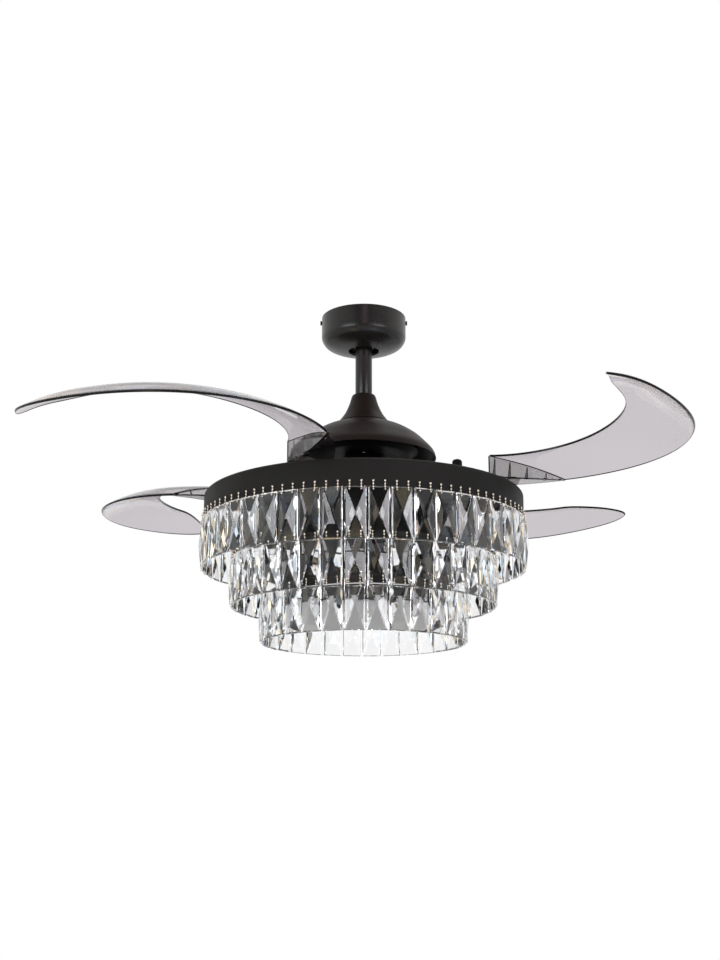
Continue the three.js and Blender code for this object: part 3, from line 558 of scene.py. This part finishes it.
def placedBox(size, centre):
    deselectAll()
    bpy.ops.mesh.primitive_cube_add(size=1, location=[c * mm for c in centre], scale=[s * mm for s in size])
    piece = bpy.context.object
    bpy.ops.object.transform_apply(location=True, rotation=True, scale=True)
    return piece


def placedRod(radius, length, centre, vertices=20, facesOut=False):
    # a round bar, upright or along x
    deselectAll()
    bpy.ops.mesh.primitive_cylinder_add(
        vertices=vertices, radius=radius * mm, depth=length * mm, location=[c * mm for c in centre],
        rotation=(0, math.pi / 2 if facesOut else 0, 0))
    return bpy.context.object


def crossCut(head, size, place, turns, axis):
    # the cross recess of a screw head
    for turn in turns:
        cutter = placedBox(size, (0, 0, 0))
        cutter.matrix_world = Matrix.Translation([c * mm for c in place]) @ turnedBy(turn, axis)
        modify(head, "BOOLEAN", operation="DIFFERENCE", object=cutter, solver="EXACT")
        bpy.data.objects.remove(cutter)


def roundSection(radius, height, thickness, count=10):
    # a rolled wire's section, as a closed profile
    angles = [2 * math.pi * i / count for i in range(count)]
    return [(radius + thickness * math.cos(a), height + thickness * math.sin(a)) for a in angles]


# ---------- canopy, bracket and receiver ----------
print("stage: canopy")

canopy = {"radius": 72, "height": 59, "hole": 25.8, "wall": 1.6, "lip": 1.1}


def buildCanopy():
    radius, height = canopy["radius"], canopy["height"]
    side = [(radius, -0.5), (radius, -2), (radius, -12), (radius, -24), (radius, -height * 0.58 + 2)]
    bowl = smoothLine([
        (radius, -height * 0.58),
        (radius - 1.2, -height * 0.68),
        (radius - 8, -height * 0.83),
        (radius - 24, -height * 0.94),
        (canopy["hole"] + canopy["lip"], -height),
    ], 26)
    shell = turned(walled(side + bowl, canopy["wall"]), 128, drop=0)
    softenEdges(shell, 0.4)
    lip = turned(roundSection(canopy["hole"] + canopy["lip"], -height + 0.9, canopy["lip"]), 96, drop=0)
    piece = joinPieces([shell, lip])
    settle(piece, "canopyShell", "mount_body", "bronze", ["canopy"])


canopyScrew = {"height": -8, "inside": 62.5, "outside": 72.3, "headRadius": 4, "headHeight": 2.4,
               "slot": 0.9, "slotDepth": 0.9, "shankRadius": 2, "bite": 0.4}


def buildCanopyScrew(turn, name, node):
    size = canopyScrew
    headEnd = size["outside"] + size["headHeight"]
    head = placedRod(size["headRadius"], size["headHeight"],
                     (headEnd - size["headHeight"] / 2, 0, size["height"]), 32, facesOut=True)
    softenEdges(head, 0.9, 4)
    crossCut(head, (2 * size["slotDepth"], size["headRadius"] * 1.3, size["slot"]),
             (headEnd, 0, size["height"]), (20, 110), "X")
    length = size["outside"] + size["bite"] - size["inside"]
    shank = placedRod(size["shankRadius"], length,
                      (size["inside"] + length / 2, 0, size["height"]), facesOut=True)
    softenEdges(shank, 0.4, 2)
    piece = joinPieces([head, shank])
    piece.matrix_world = turnedBy(turn) @ piece.matrix_world
    settle(piece, name, "mount_body", "black", [node])


buildCanopy()
buildCanopyScrew(0, "canopyScrewRight", "canopy_screw_right")
buildCanopyScrew(180, "canopyScrewLeft", "canopy_screw_left")
for node, name, slot, look, piece in (
    ("ceiling_bracket", "ceilingBracket", "zinc_steel", "zinc", refined("ceiling_bracket", 0.5)),
    ("receiver_box", "receiverBox", "black_plastic", "plastic", refined("receiver_box", 2, 4)),
):
    settle(piece, name, "mount_body", look, [node])

# ---------- ball, rod and coupling ----------
print("stage: downrod")

hanger = {"ballRadius": 29.5, "ballCentre": -30, "ballTop": -12, "ballBottom": -51,
          "rodRadius": 14.25, "rodWall": 2.2, "rodTop": -9, "rodBottom": -184.7}


def buildBall():
    radius, centre = hanger["ballRadius"], hanger["ballCentre"]
    low = math.asin((hanger["ballBottom"] - centre) / radius)
    high = math.asin((hanger["ballTop"] - centre) / radius)
    profile = []
    for i in range(25):
        angle = high + (low - high) * i / 24
        profile.append((radius * math.cos(angle), centre + radius * math.sin(angle)))
    bore = hanger["rodRadius"] + 0.3
    profile += [(bore, hanger["ballBottom"]), (bore, hanger["ballTop"])]
    piece = turned(profile, 96, drop=0)
    softenEdges(piece, 0.6)
    settle(piece, "hangerBall", "hanging_body", "ballPlastic", ["hanger_ball"])


def buildRod():
    outer, inner = hanger["rodRadius"], hanger["rodRadius"] - hanger["rodWall"]
    top, bottom = hanger["rodTop"], hanger["rodBottom"]
    piece = turned([
        (outer, top), (outer, top - 40), (outer, top - 90), (outer, bottom), (inner, bottom), (inner, top),
    ], 96, drop=0)
    softenEdges(piece, 0.5)
    settle(piece, "downrodTube", "hanging_body", "bronze", ["downrod"])


buildBall()
buildRod()
settle(refined("coupling", 0.6), "rodCoupling", "hanging_body", "zinc", ["coupling"])
for node in ("hanger_pin", "coupling_pin"):
    piece = refined(node, 0.6, degrees=60)
    settle(piece, node.replace("_p", "P"), "hanging_body", "steel", [node])

# ---------- covers and motor ----------
print("stage: covers and motor")

covers = {
    "yokeTop": [(15, 180.5), (18.5, 180.5)],
    "yoke": [(18.5, 180.5), (20.6, 177.3), (25, 163), (32.6, 146.6), (44.5, 130.6)],
    "motorMouth": [(24, 130), (42.4, 130)],
    "motor": [(43.6, 130), (70, 119.4), (92, 105.8), (107, 91.8), (118.6, 78.8), (122.2, 68.5)],
    "wall": 1.6,
}


def buildCovers():
    yoke = turned(walled(covers["yokeTop"] + smoothLine(covers["yoke"], 28)[1:], covers["wall"]), 96)
    softenEdges(yoke, 0.5, 2, 50)
    settle(yoke, "yokeCover", "hanging_body", "brown", ["yoke_cover"])
    shell = turned(walled(covers["motorMouth"] + smoothLine(covers["motor"], 44), covers["wall"]), 144)
    softenEdges(shell, 0.5, 2, 60)
    settle(shell, "motorCover", "hanging_body", "brown", ["motor_cover"])


# the rim is a low ring under the motor, from one radius to the next
motor = {"radius": 92, "bottomRadius": 77, "topRadius": 70, "bottom": 72, "top": 110, "split": 89,
         "splitGap": 0.3, "wall": 4, "chamfer": 8, "shoulder": 10, "bearing": 17.3, "rim": (26, 28, 58, 60),
         "rimRise": 1.2}
dowels = {"radius": 1.3, "length": 3.6, "sunk": 0.6, "circle": 41, "gap": 3.4, "turns": (-90, 30, 150)}


def buildMotorShells():
    m = motor
    inside = m["radius"] - m["wall"]
    seam = m["split"] + m["splitGap"]
    a, b, c, d = m["rim"]
    lower = turned([
        (m["bearing"], m["bottom"]), (a, m["bottom"]), (b, m["bottom"] + m["rimRise"]),
        (c, m["bottom"] + m["rimRise"]), (d, m["bottom"]), (m["bottomRadius"], m["bottom"]),
        (m["radius"], m["bottom"] + m["chamfer"]), (m["radius"], m["split"]), (inside, m["split"]),
        (inside, m["bottom"] + m["chamfer"] + 2), (m["bottomRadius"], m["bottom"] + m["wall"]),
        (m["bearing"], m["bottom"] + m["wall"]),
    ], 96)
    upper = turned([
        (m["bearing"], m["top"]), (m["bearing"], m["top"] - m["wall"]),
        (m["topRadius"] - 2, m["top"] - m["wall"]), (inside, m["top"] - m["shoulder"] - 1), (inside, seam),
        (m["radius"], seam), (m["radius"], m["top"] - m["shoulder"]), (m["topRadius"], m["top"]),
    ], 96)
    for shell, name, node in ((lower, "Lower", "bottom"), (upper, "Upper", "top")):
        softenEdges(shell, 0.8, 3, 20)
        settle(shell, "motorShell" + name, "rotor", "black", ["motor_shell_" + node])


def buildDowels():
    # three pairs of bright dowels under the motor
    d = dowels
    height = ringTop + motor["bottom"] - d["length"] / 2 + d["sunk"]
    pieces = []
    for turn in d["turns"]:
        for side in (-0.5, 0.5):
            dowel = placedRod(d["radius"], d["length"], (d["circle"], side * d["gap"], height))
            softenEdges(dowel, 0.5, 3)
            dowel.matrix_world = turnedBy(turn) @ dowel.matrix_world
            pieces.append(dowel)
    settle(joinPieces(pieces), "motorDowels", "rotor", "steel")


hub = {"bore": 20, "radius": 33, "flange": 60, "foot": -9.7, "screws": 8, "screwCircle": 50,
       "screwHead": (3.2, 2.2)}


def panHead(radius, height, centre):
    # a small screw head, standing up, with a cross recess
    x, y, z = centre
    head = placedRod(radius, height, (x, y, z + height / 2))
    softenEdges(head, height * 0.45, 3)
    crossCut(head, (radius * 1.3, radius * 0.28, height), (x, y, z + height), (0, 90), "Z")
    makeActive(head)
    bpy.ops.object.transform_apply(location=True, rotation=True, scale=True)
    return head


def buildHub():
    h = hub
    piece = turned([
        (h["bore"], h["foot"]), (h["flange"], h["foot"]), (h["flange"], h["foot"] + 3),
        (h["radius"] + 6, h["foot"] + 5), (h["radius"] + 1.5, h["foot"] + 8), (h["radius"], h["foot"] + 14),
        (h["radius"], motor["bottom"] - 0.3), (h["bore"], motor["bottom"] - 0.3),
    ], 96)
    softenEdges(piece, 0.6, 3, 20)
    settle(piece, "rotorHub", "rotor", "black", ["rotor_hub"])
    first = panHead(*h["screwHead"], (h["screwCircle"], 0, ringTop + h["foot"] + 3))
    heads = [first] + [copied(first, 360 * i / h["screws"]) for i in range(1, h["screws"])]
    settle(joinPieces(heads), "hubScrews", "rotor", "steel")


buildCovers()
buildMotorShells()
buildDowels()
buildHub()
for node, name, slot, look in (
    ("motor_shaft", "motorShaft", "bright_steel", "steel"),
    ("stator_core", "statorCore", "iron", "iron"),
    ("winding_top", "windingTop", "copper", "copper"),
    ("winding_bottom", "windingBottom", "copper", "copper"),
    ("magnet_ring", "magnetRing", "iron", "iron"),
    ("bearing_top", "bearingTop", "bright_steel", "steel"),
    ("bearing_bottom", "bearingBottom", "bright_steel", "steel"),
):
    settle(refined(node, 0.5), name, bodyOf(node), look, [node])

# ---------- fold mechanism ----------
print("stage: fold mechanism")

settle(refined("blade_carrier", 0.4), "bladeCarrier", "rotor", "zinc", ["blade_carrier"])
settle(refined("sync_gear", 0.35), "syncGear", "sync_ring", "nylon", ["sync_gear"])

fold = {"pivot": Vector((150, -105)), "postRadius": 8, "neck": 6, "postTop": 40, "postFoot": -18,
        "carrierTop": -9.7, "collar": 11, "collarHeight": 2, "hubTop": 14, "springRadius": 15,
        "springWire": 2, "springTurns": 2.25, "springLow": -2.3, "springHigh": 5.6}


def buildPosts():
    f = fold
    radius, top, foot = f["postRadius"], f["postTop"], f["carrierTop"]
    collar = f["hubTop"] + 0.3
    piece = turned([
        (f["neck"], f["postFoot"]), (f["neck"], foot), (radius, foot), (radius, collar),
        (f["collar"], collar), (f["collar"], collar + f["collarHeight"]),
        (radius, collar + f["collarHeight"]), (radius, top - 5),
        (radius * 0.94, top - 3), (radius * 0.8, top - 1.6), (radius * 0.5, top - 0.4), (0.8, top),
    ], 40, isOpen=False)
    softenEdges(piece, 0.4, 2, 50)
    makeActive(piece)
    bpy.ops.object.transform_apply(location=True, rotation=True, scale=True)
    bpy.ops.transform.translate(value=(f["pivot"].x * mm, f["pivot"].y * mm, 0))
    bpy.ops.object.transform_apply(location=True, rotation=True, scale=True)
    for k, post in enumerate(fourAround(piece)):
        settle(post, f"pivotPost{k + 1}", "rotor", "black", [f"pivot_post_{k + 1}"])


def buildSprings():
    f = fold
    turns = int(48 * f["springTurns"])
    for k in range(4):
        curve = bpy.data.curves.new(f"spring{k + 1}", "CURVE")
        curve.dimensions = "3D"
        line = curve.splines.new("POLY")
        line.points.add(turns)
        for i, point in enumerate(line.points):
            angle = 2 * math.pi * f["springTurns"] * i / turns
            height = ringTop + f["springLow"] + (f["springHigh"] - f["springLow"]) * i / turns
            place = Vector((f["pivot"].x + f["springRadius"] * math.cos(angle),
                            f["pivot"].y + f["springRadius"] * math.sin(angle), height)) * mm
            point.co = (*(turnedBy(90 * k) @ place), 1)
        curve.bevel_depth = f["springWire"] / 2 * mm
        curve.bevel_resolution = 3
        curve.use_fill_caps = True
        piece = bpy.data.objects.new(f"spring{k + 1}", curve)
        scene.collection.objects.link(piece)
        makeActive(piece)
        bpy.ops.object.convert(target="MESH")
        settle(bpy.context.object, f"returnSpring{k + 1}", "rotor", "steel",
               [f"return_spring_{k + 1}"])


buildPosts()
buildSprings()
for k in range(1, 5):
    node = f"blade_gear_{k}"
    settle(refined(node, 0.35), f"bladeGear{k}", bodyOf(node), "nylon", [node])

# ---------- blades ----------
print("stage: blades")

bladeLooks = ["smoke", "smokeRimShade", "smokeRoot"]  # of the sheet, its rim (painted near-black: the shade a clear edge shows) and its root
# t runs from the root to the tip, and s from the convex edge to the concave one
bladeShape = {
    "centre": Vector((264.7, -365.7)),  # the edges' radii and angles are seen from here
    "angles": (106.16, -69.24),
    "convexRadii": [324, 315.7, 266.7, 200.6, 165.6, 146.6],
    "concaveRadii": [256.5, 214.6, 147.6, 101.9, 93.7, 146.6],
    "edgeHeights": [8.4, 26.4, 35.1, 58.4],
    "edgeSlopes": [0.973, 0.618, 0.806, 0.991],
    "camber": [-0.00697, -0.00261, -0.00488, -0.01097],
    "thickness": 3.5,
    "rim": 1.5,
    "end": 0.987,
    "endRound": 0.009,
    "tipStart": 0.67,
    "tipDroop": 9,
    "tipFlatness": 0.6,
    "rootLine": (0.16, 0.01),
    "flange": 3,
    "ribs": 4,
    "ribDepth": 11,
    "ribThickness": 2,
    "hubRadius": 18,
    "bore": 8.5,
    "screwCircle": 14.4,
    "screwHead": (1.7, 1.3),
}


def through(values):
    # the polynomial that takes these values at even steps of t
    last = len(values) - 1

    def at(t):
        total = 0
        for i, value in enumerate(values):
            weight = 1
            for j in range(last + 1):
                if j != i:
                    weight *= (t * last - j) / (i - j)
            total += weight * value
        return total
    return at


convexRadius = through(bladeShape["convexRadii"])
concaveRadius = through(bladeShape["concaveRadii"])
edgeHeight = through(bladeShape["edgeHeights"])
edgeSlope = through(bladeShape["edgeSlopes"])
edgeCamber = through(bladeShape["camber"])


def planPoint(t, s):
    first, last = bladeShape["angles"]
    angle = math.radians(first + (last - first) * t)
    radius = convexRadius(t) + (concaveRadius(t) - convexRadius(t)) * s
    centre = bladeShape["centre"]
    return Vector((centre.x + radius * math.cos(angle), centre.y + radius * math.sin(angle), edgeHeight(t)))


def sheetPoint(t, s):
    point = planPoint(t, s)
    inward = (convexRadius(t) - concaveRadius(t)) * s
    nearTip = max(0, (t - bladeShape["tipStart"]) / (1 - bladeShape["tipStart"])) ** 2
    rise = edgeSlope(t) * inward + edgeCamber(t) * inward ** 2
    point.z += rise * (1 - bladeShape["tipFlatness"] * nearTip) - bladeShape["tipDroop"] * nearTip
    return point


def sheetNormal(t, s):
    step = 1e-3
    normal = (sheetPoint(t + step, s) - sheetPoint(t - step, s)).cross(
        sheetPoint(t, s + step) - sheetPoint(t, s - step)).normalized()
    return -normal if normal.z < 0 else normal


def rootT(s):
    first, last = bladeShape["rootLine"]
    return first + (last - first) * s


def wearLooks(piece, index):
    # carries all the blade's looks and shows one of them
    for look in bladeLooks:
        piece.data.materials.append(finish[look])
    for face in piece.data.polygons:
        face.material_index = index


def slab(columns, rows, place, index=2):
    # a grid is extruded into a slab, and each of its points is put where it belongs
    deselectAll()
    bpy.ops.mesh.primitive_grid_add(x_subdivisions=columns, y_subdivisions=rows, size=1,
                                    location=(0.5, 0.5, 0))
    piece = bpy.context.object
    bpy.ops.object.transform_apply(location=True)
    bpy.ops.object.mode_set(mode="EDIT")
    bpy.ops.mesh.select_all(action="SELECT")
    bpy.ops.mesh.extrude_region_move(TRANSFORM_OT_translate={"value": (0, 0, 1)})
    bpy.ops.object.mode_set(mode="OBJECT")
    wearLooks(piece, index)
    # the rim faces take the rim's painted shade
    for face in piece.data.polygons:
        if 0.2 < face.center.z < 0.8:
            face.material_index = 1
    for vertex in piece.data.vertices:
        point = place(vertex.co.x, vertex.co.y, 1 if vertex.co.z > 0.5 else -1)
        vertex.co = (point + Vector((0, 0, ringTop))) * mm
    bpy.ops.object.mode_set(mode="EDIT")
    bpy.ops.mesh.select_all(action="SELECT")
    bpy.ops.mesh.normals_make_consistent(inside=False)
    bpy.ops.object.mode_set(mode="OBJECT")
    return piece


def rootInward(s):
    along = planPoint(rootT(1), 1) - planPoint(rootT(0), 0)
    along.z = 0
    inward = Vector((-along.y, along.x, 0)).normalized()
    toPivot = Vector((*fold["pivot"], 0)) - planPoint(rootT(s), s)
    return -inward if inward.dot(toPivot) < 0 else inward


def buildBladeParts():
    b = bladeShape

    def onSheet(u, s, side):
        end = b["end"] - b["endRound"] * (2 * s - 1) ** 2
        t = rootT(s) + (end - rootT(s)) * u
        return sheetPoint(t, s) + sheetNormal(t, s) * side * b["thickness"] / 2

    def onFlange(u, s, side):
        point = planPoint(rootT(s) * u, s)
        point.z += side * b["flange"] / 2
        return point

    def onWall(s, rise, side):
        foot = planPoint(rootT(s), s)
        head = sheetPoint(rootT(s), s).z
        foot.z += -b["flange"] / 2 + (head - foot.z + b["flange"] / 2) * rise
        return foot + rootInward(s) * (b["thickness"] if side > 0 else -0.4)

    sheet = slab(84, 14, onSheet, 0)
    # the bevelled rim takes the rim's painted shade too
    modify(sheet, "BEVEL", width=b["rim"] * mm, segments=4, limit_method="ANGLE",
           angle_limit=math.radians(60), material=1)
    parts = [slab(8, 4, onFlange), slab(16, 4, onWall)]
    for i in range(b["ribs"]):
        s = 0.9 - 0.7 * i / (b["ribs"] - 1)
        foot = planPoint(rootT(s), s)
        head = sheetPoint(rootT(s), s).z - 1
        inward = rootInward(s)
        across = Vector((-inward.y, inward.x, 0)) * b["ribThickness"] / 2

        def onRib(u, rise, side, foot=foot, head=head, inward=inward, across=across):
            reach = u * b["ribDepth"] * (1 - 0.75 * rise)
            point = foot + inward * (0.5 + reach) + across * side
            low = foot.z - b["flange"] / 4
            point.z = low + (head - low) * rise
            return point
        parts.append(slab(2, 6, onRib))
    return sheet, parts


def buildBladeHub():
    # the flat bridge from the root to the round hub on the post
    b = bladeShape
    pivot = fold["pivot"]
    low, high = b["edgeHeights"][0] - b["flange"] / 2, b["edgeHeights"][0] + b["flange"] / 2
    side = b["hubRadius"] * 0.9
    hubSides = [Vector((pivot.x - side * 0.3, pivot.y + side)),
                Vector((pivot.x + side * 0.2, pivot.y - side))]
    rootSides = [planPoint(0.02, 0).xy, planPoint(0.02, 1).xy]

    def onBridge(u, v, level):
        near, far = hubSides[0].lerp(hubSides[1], v), rootSides[0].lerp(rootSides[1], v)
        return Vector((*near.lerp(far, u), high if level > 0 else low))

    bridge = slab(6, 4, onBridge)
    middle = ringTop + (low + fold["hubTop"]) / 2
    disc = placedRod(b["hubRadius"], fold["hubTop"] - low, (pivot.x, pivot.y, middle), 64)
    bpy.ops.object.transform_apply(location=True)
    wearLooks(disc, 2)
    return [bridge, disc]


def closeHoles(piece):
    # where walls met exactly, the unions leave slits
    makeActive(piece)
    bpy.ops.object.mode_set(mode="EDIT")
    bpy.ops.mesh.select_mode(type="VERT")
    bpy.ops.mesh.select_all(action="SELECT")
    bpy.ops.mesh.remove_doubles(threshold=0.00002)
    bpy.ops.mesh.select_all(action="DESELECT")
    bpy.ops.mesh.select_non_manifold(use_wire=False, use_multi_face=False, use_non_contiguous=False,
                                     use_verts=False)
    bpy.ops.mesh.fill_holes(sides=0)
    bpy.ops.object.mode_set(mode="OBJECT")


def buildBlades():
    b = bladeShape
    pivot = fold["pivot"]
    sheet, parts = buildBladeParts()
    for part in parts + buildBladeHub():
        modify(sheet, "BOOLEAN", operation="UNION", object=part, solver="EXACT")
        bpy.data.objects.remove(part)
    bore = placedRod(b["bore"], 40, (pivot.x, pivot.y, ringTop + 8), 48)
    modify(sheet, "BOOLEAN", operation="DIFFERENCE", object=bore, solver="EXACT")
    bpy.data.objects.remove(bore)
    closeHoles(sheet)
    for k, blade in enumerate(fourAround(sheet)):
        settle(blade, f"blade{k + 1}", f"blade_set_{k + 1}", bladeLooks,
               [f"blade_{k + 1}"], smooth=40)
    screws = []
    for third in range(3):
        angle = 0.4 + third * 2 * math.pi / 3
        screws.append(panHead(*b["screwHead"], (
            pivot.x + b["screwCircle"] * math.cos(angle), pivot.y + b["screwCircle"] * math.sin(angle),
            ringTop + fold["hubTop"])))
    for k, group in enumerate(fourAround(joinPieces(screws))):
        settle(group, f"bladeScrews{k + 1}", f"blade_set_{k + 1}", "steel")


buildBlades()

# ---------- ring band, pan and lamp housing ----------
print("stage: ring and housing")

ring = {"radius": 266, "wall": 2.5, "height": 44.4, "fillet": 5, "lip": 14}
pan = {"hole": 10.3, "top": -22, "thickness": 2, "skirt": 12, "gap": 0.3}


def roundedCorner(radius):
    centre = ring["radius"] - ring["fillet"]
    angles = [math.pi * i / 16 for i in range(9)]
    return [(centre + radius * math.cos(a), -ring["fillet"] + radius * math.sin(a)) for a in angles]


def buildRing():
    radius, height, wall = ring["radius"], ring["height"], ring["wall"]
    lip = radius - ring["lip"]
    side = [(radius, -height * share) for share in (1, 0.6, 0.3)]
    inner = roundedCorner(ring["fillet"] - wall)[::-1] + [(radius - wall, -height)]
    band = turned(side + roundedCorner(ring["fillet"]) + [(lip, 0), (lip, -wall)] + inner, 192)
    softenEdges(band, 0.5, 2, 50)
    settle(band, "ringBand", "hanging_body", "charcoal", ["ring_band"])


def buildPan():
    rim = ring["radius"] - ring["wall"] - pan["gap"]
    top, under = pan["top"], pan["top"] - pan["thickness"]
    skirt = top - pan["skirt"]
    piece = turned([
        (pan["hole"], top), (60, top), (140, top), (rim, top), (rim, skirt), (rim - pan["thickness"], skirt),
        (rim - pan["thickness"], under), (140, under), (60, under), (pan["hole"], under),
    ], 144)
    softenEdges(piece, 0.4, 2, 50)
    settle(piece, "lightPan", "hanging_body", "charcoal", ["light_pan"])


lamp = {"radius": 118, "top": -24.3, "bottom": -190, "hole": 14, "wall": 1.6, "ledge": -174.5,
        "ledgeWidth": 9, "diffuserDepth": 24, "diffuserWall": 2.5, "board": 3, "gap": 0.3}
tiers = {"radius": 266.6, "inset": 50, "drop": 59, "top": -46.3, "bandGap": 1.5, "pitch": 34.9, "turn": 1.15,
         "count": 3, "armTurn": 36, "armWidth": 12, "armThickness": 1.2, "seatReach": 9,
         "hoopHalf": 1, "hoopRise": 13, "hoopDrop": 0.9, "hookDrop": 1.2}


def tierTop(level):
    return tiers["top"] - tiers["drop"] * level


def buildHousing():
    radius, hole, wall, top = lamp["radius"], lamp["hole"], lamp["wall"], lamp["top"]
    inner = radius - wall
    ledge, shelf = lamp["ledge"], inner - lamp["ledgeWidth"]
    shell = turned([
        (hole, top), (60, top), (radius, top), (radius, -80), (radius, -140), (radius, lamp["bottom"]),
        (inner, lamp["bottom"]), (inner, ledge - wall), (shelf, ledge - wall), (shelf, ledge),
        (inner, ledge), (inner, top - wall), (hole, top - wall),
    ], 128)
    softenEdges(shell, 0.4, 2, 50)
    parts = [shell]
    for level in range(1, tiers["count"]):
        seatTop = tierTop(level) - tiers["armThickness"] - lamp["gap"]
        for k in range(4):
            seat = placedBox((tiers["seatReach"] + 1, tiers["armWidth"] + 2, 2),
                             (radius - 1 + (tiers["seatReach"] + 1) / 2, 0, ringTop + seatTop - 1))
            softenEdges(seat, 0.5)
            seat.matrix_world = turnedBy(tiers["armTurn"] + 90 * k)
            parts.append(seat)
    settle(joinPieces(parts), "lampHousing", "hanging_body", "charcoal", ["lamp_housing"])


def bowlLine(radius, depth, top, straight=4):
    # an elliptical bowl under a short straight wall, down to its middle
    shares = [math.cos(math.pi / 2 * i / 20) for i in range(20)] + [0.008]
    return [(radius * share, top - straight - (depth - straight) * math.sqrt(1 - share ** 2))
            for share in shares]


def buildDiffuser():
    rim = lamp["radius"] - lamp["wall"] - lamp["gap"]
    top = lamp["ledge"] - lamp["wall"] - lamp["gap"] - lamp["board"] - lamp["gap"]
    inside = rim - lamp["diffuserWall"]
    outer = [(rim, top)] + bowlLine(rim, lamp["diffuserDepth"], top)
    inner = bowlLine(inside, lamp["diffuserDepth"] - lamp["diffuserWall"], top)[::-1] + [(inside, top)]
    settle(turned(outer + inner, 128), "opalDiffuser", "hanging_body", "opal", ["led_diffuser"])


buildRing()
buildPan()
buildHousing()
buildDiffuser()
for node, name, slot, look, width in (
    ("shaft_nut", "shaftNut", "bright_steel", "steel", 0.8),
    ("led_driver", "ledDriver", "black_plastic", "plastic", 2),
    ("led_board", "ledBoard", "aluminium", "aluminium", 0.4),
):
    settle(refined(node, width, 3), name, "hanging_body", look, [node])

# ---------- crystals ----------
print("stage: crystals")

crystal = {"height": 79.6, "width": 32.3, "edge": 2.4, "middle": 13.2, "frame": 2, "frameRise": 1.15,
           "yaw": 3, "sway": 0.7}
beads = {"heights": [10, 5.2, 0.6, -3.2], "radii": [1.95, 1.6, 1.6, 1.25], "out": [1.5, 1.7, 2.0, 3.9],
         "wire": 0.2, "wireOut": 1.7}


def buildCrystal(radius, top):
    c = crystal
    piece = placedBox((c["edge"], c["width"], c["height"]), (radius, 0, ringTop + top - c["height"] / 2))
    makeActive(piece)
    bpy.ops.object.mode_set(mode="EDIT")
    for side in (1, -1):
        pickFaces(piece, lambda face: face.normal.x * side > 0.99)
        bpy.ops.mesh.inset(thickness=c["frame"] * mm, depth=c["frameRise"] * mm)
        bpy.ops.mesh.poke(offset=(c["middle"] / 2 - c["edge"] / 2 - c["frameRise"]) * mm)
    bpy.ops.object.mode_set(mode="OBJECT")
    return piece


def buildBeads(radius, top):
    parts = []
    for height, size, out in zip(beads["heights"], beads["radii"], beads["out"]):
        deselectAll()
        bpy.ops.mesh.primitive_uv_sphere_add(segments=8, ring_count=6, radius=size * mm,
                                             location=((radius + out) * mm, 0, (ringTop + top + height) * mm))
        parts.append(bpy.context.object)
    high, low = beads["heights"][0], beads["heights"][2]
    parts.append(placedRod(beads["wire"], high - low,
                           (radius + beads["wireOut"], 0, ringTop + top + (high + low) / 2), 6))
    return joinPieces(parts)


def buildTier(level):
    radius = tiers["radius"] - tiers["inset"] * level
    top = tierTop(level)
    count = round(2 * math.pi * radius / tiers["pitch"])
    firstGap = -90 + tiers["turn"]
    rng = random.Random(40 + level)
    # the first tier hangs right under the band, the others under their hoops
    model = buildCrystal(radius, top + (tiers["bandGap"] if level == 0 else -tiers["hookDrop"]))
    pin = buildBeads(radius, top)
    glass, pins = [], []
    for i in range(count):
        turn = firstGap + (i + 0.5) * 360 / count
        twin = copied(model)
        hook = Matrix.Translation((radius * mm, 0, (ringTop + top) * mm))
        sway = (turnedBy(rng.uniform(-1, 1) * crystal["yaw"])
                @ turnedBy(rng.uniform(-1, 1) * crystal["sway"], "Y"))
        twin.matrix_world = turnedBy(turn) @ hook @ sway @ hook.inverted() @ model.matrix_world
        glass.append(twin)
        for quarter in (-0.25, 0.25):
            pins.append(copied(pin, turn + quarter * 360 / count))
    bpy.data.objects.remove(model)
    bpy.data.objects.remove(pin)
    node = f"crystal_tier_{level + 1}"
    settle(joinPieces(glass), f"crystals{level + 1}", "hanging_body", "crystal", [node], 1)
    settle(joinPieces(pins), f"beadPins{level + 1}", "hanging_body", "silver", (), 80)
    if level > 0:
        buildHoop(level, radius, top)


def buildHoop(level, radius, top):
    outer, inner = radius + tiers["hoopHalf"], radius - tiers["hoopHalf"]
    high, low = top + tiers["hoopRise"], top - tiers["hoopDrop"]
    hoop = turned([(outer, high), (outer, low), (inner, low), (inner, high)], 160)
    softenEdges(hoop, 0.3)
    parts = [hoop]
    length = radius - lamp["radius"] - 2 * lamp["gap"]
    for k in range(4):
        arm = placedBox((length, tiers["armWidth"], tiers["armThickness"]),
                        (lamp["radius"] + lamp["gap"] + length / 2, 0,
                         ringTop + top - tiers["armThickness"] / 2))
        softenEdges(arm, 0.3)
        arm.matrix_world = turnedBy(tiers["armTurn"] + 90 * k)
        parts.append(arm)
    settle(joinPieces(parts), f"tierHoop{level + 1}", "hanging_body", "charcoal")


for level in range(tiers["count"]):
    buildTier(level)

# ---------- end ----------
print("stage: finish")
deselectAll()
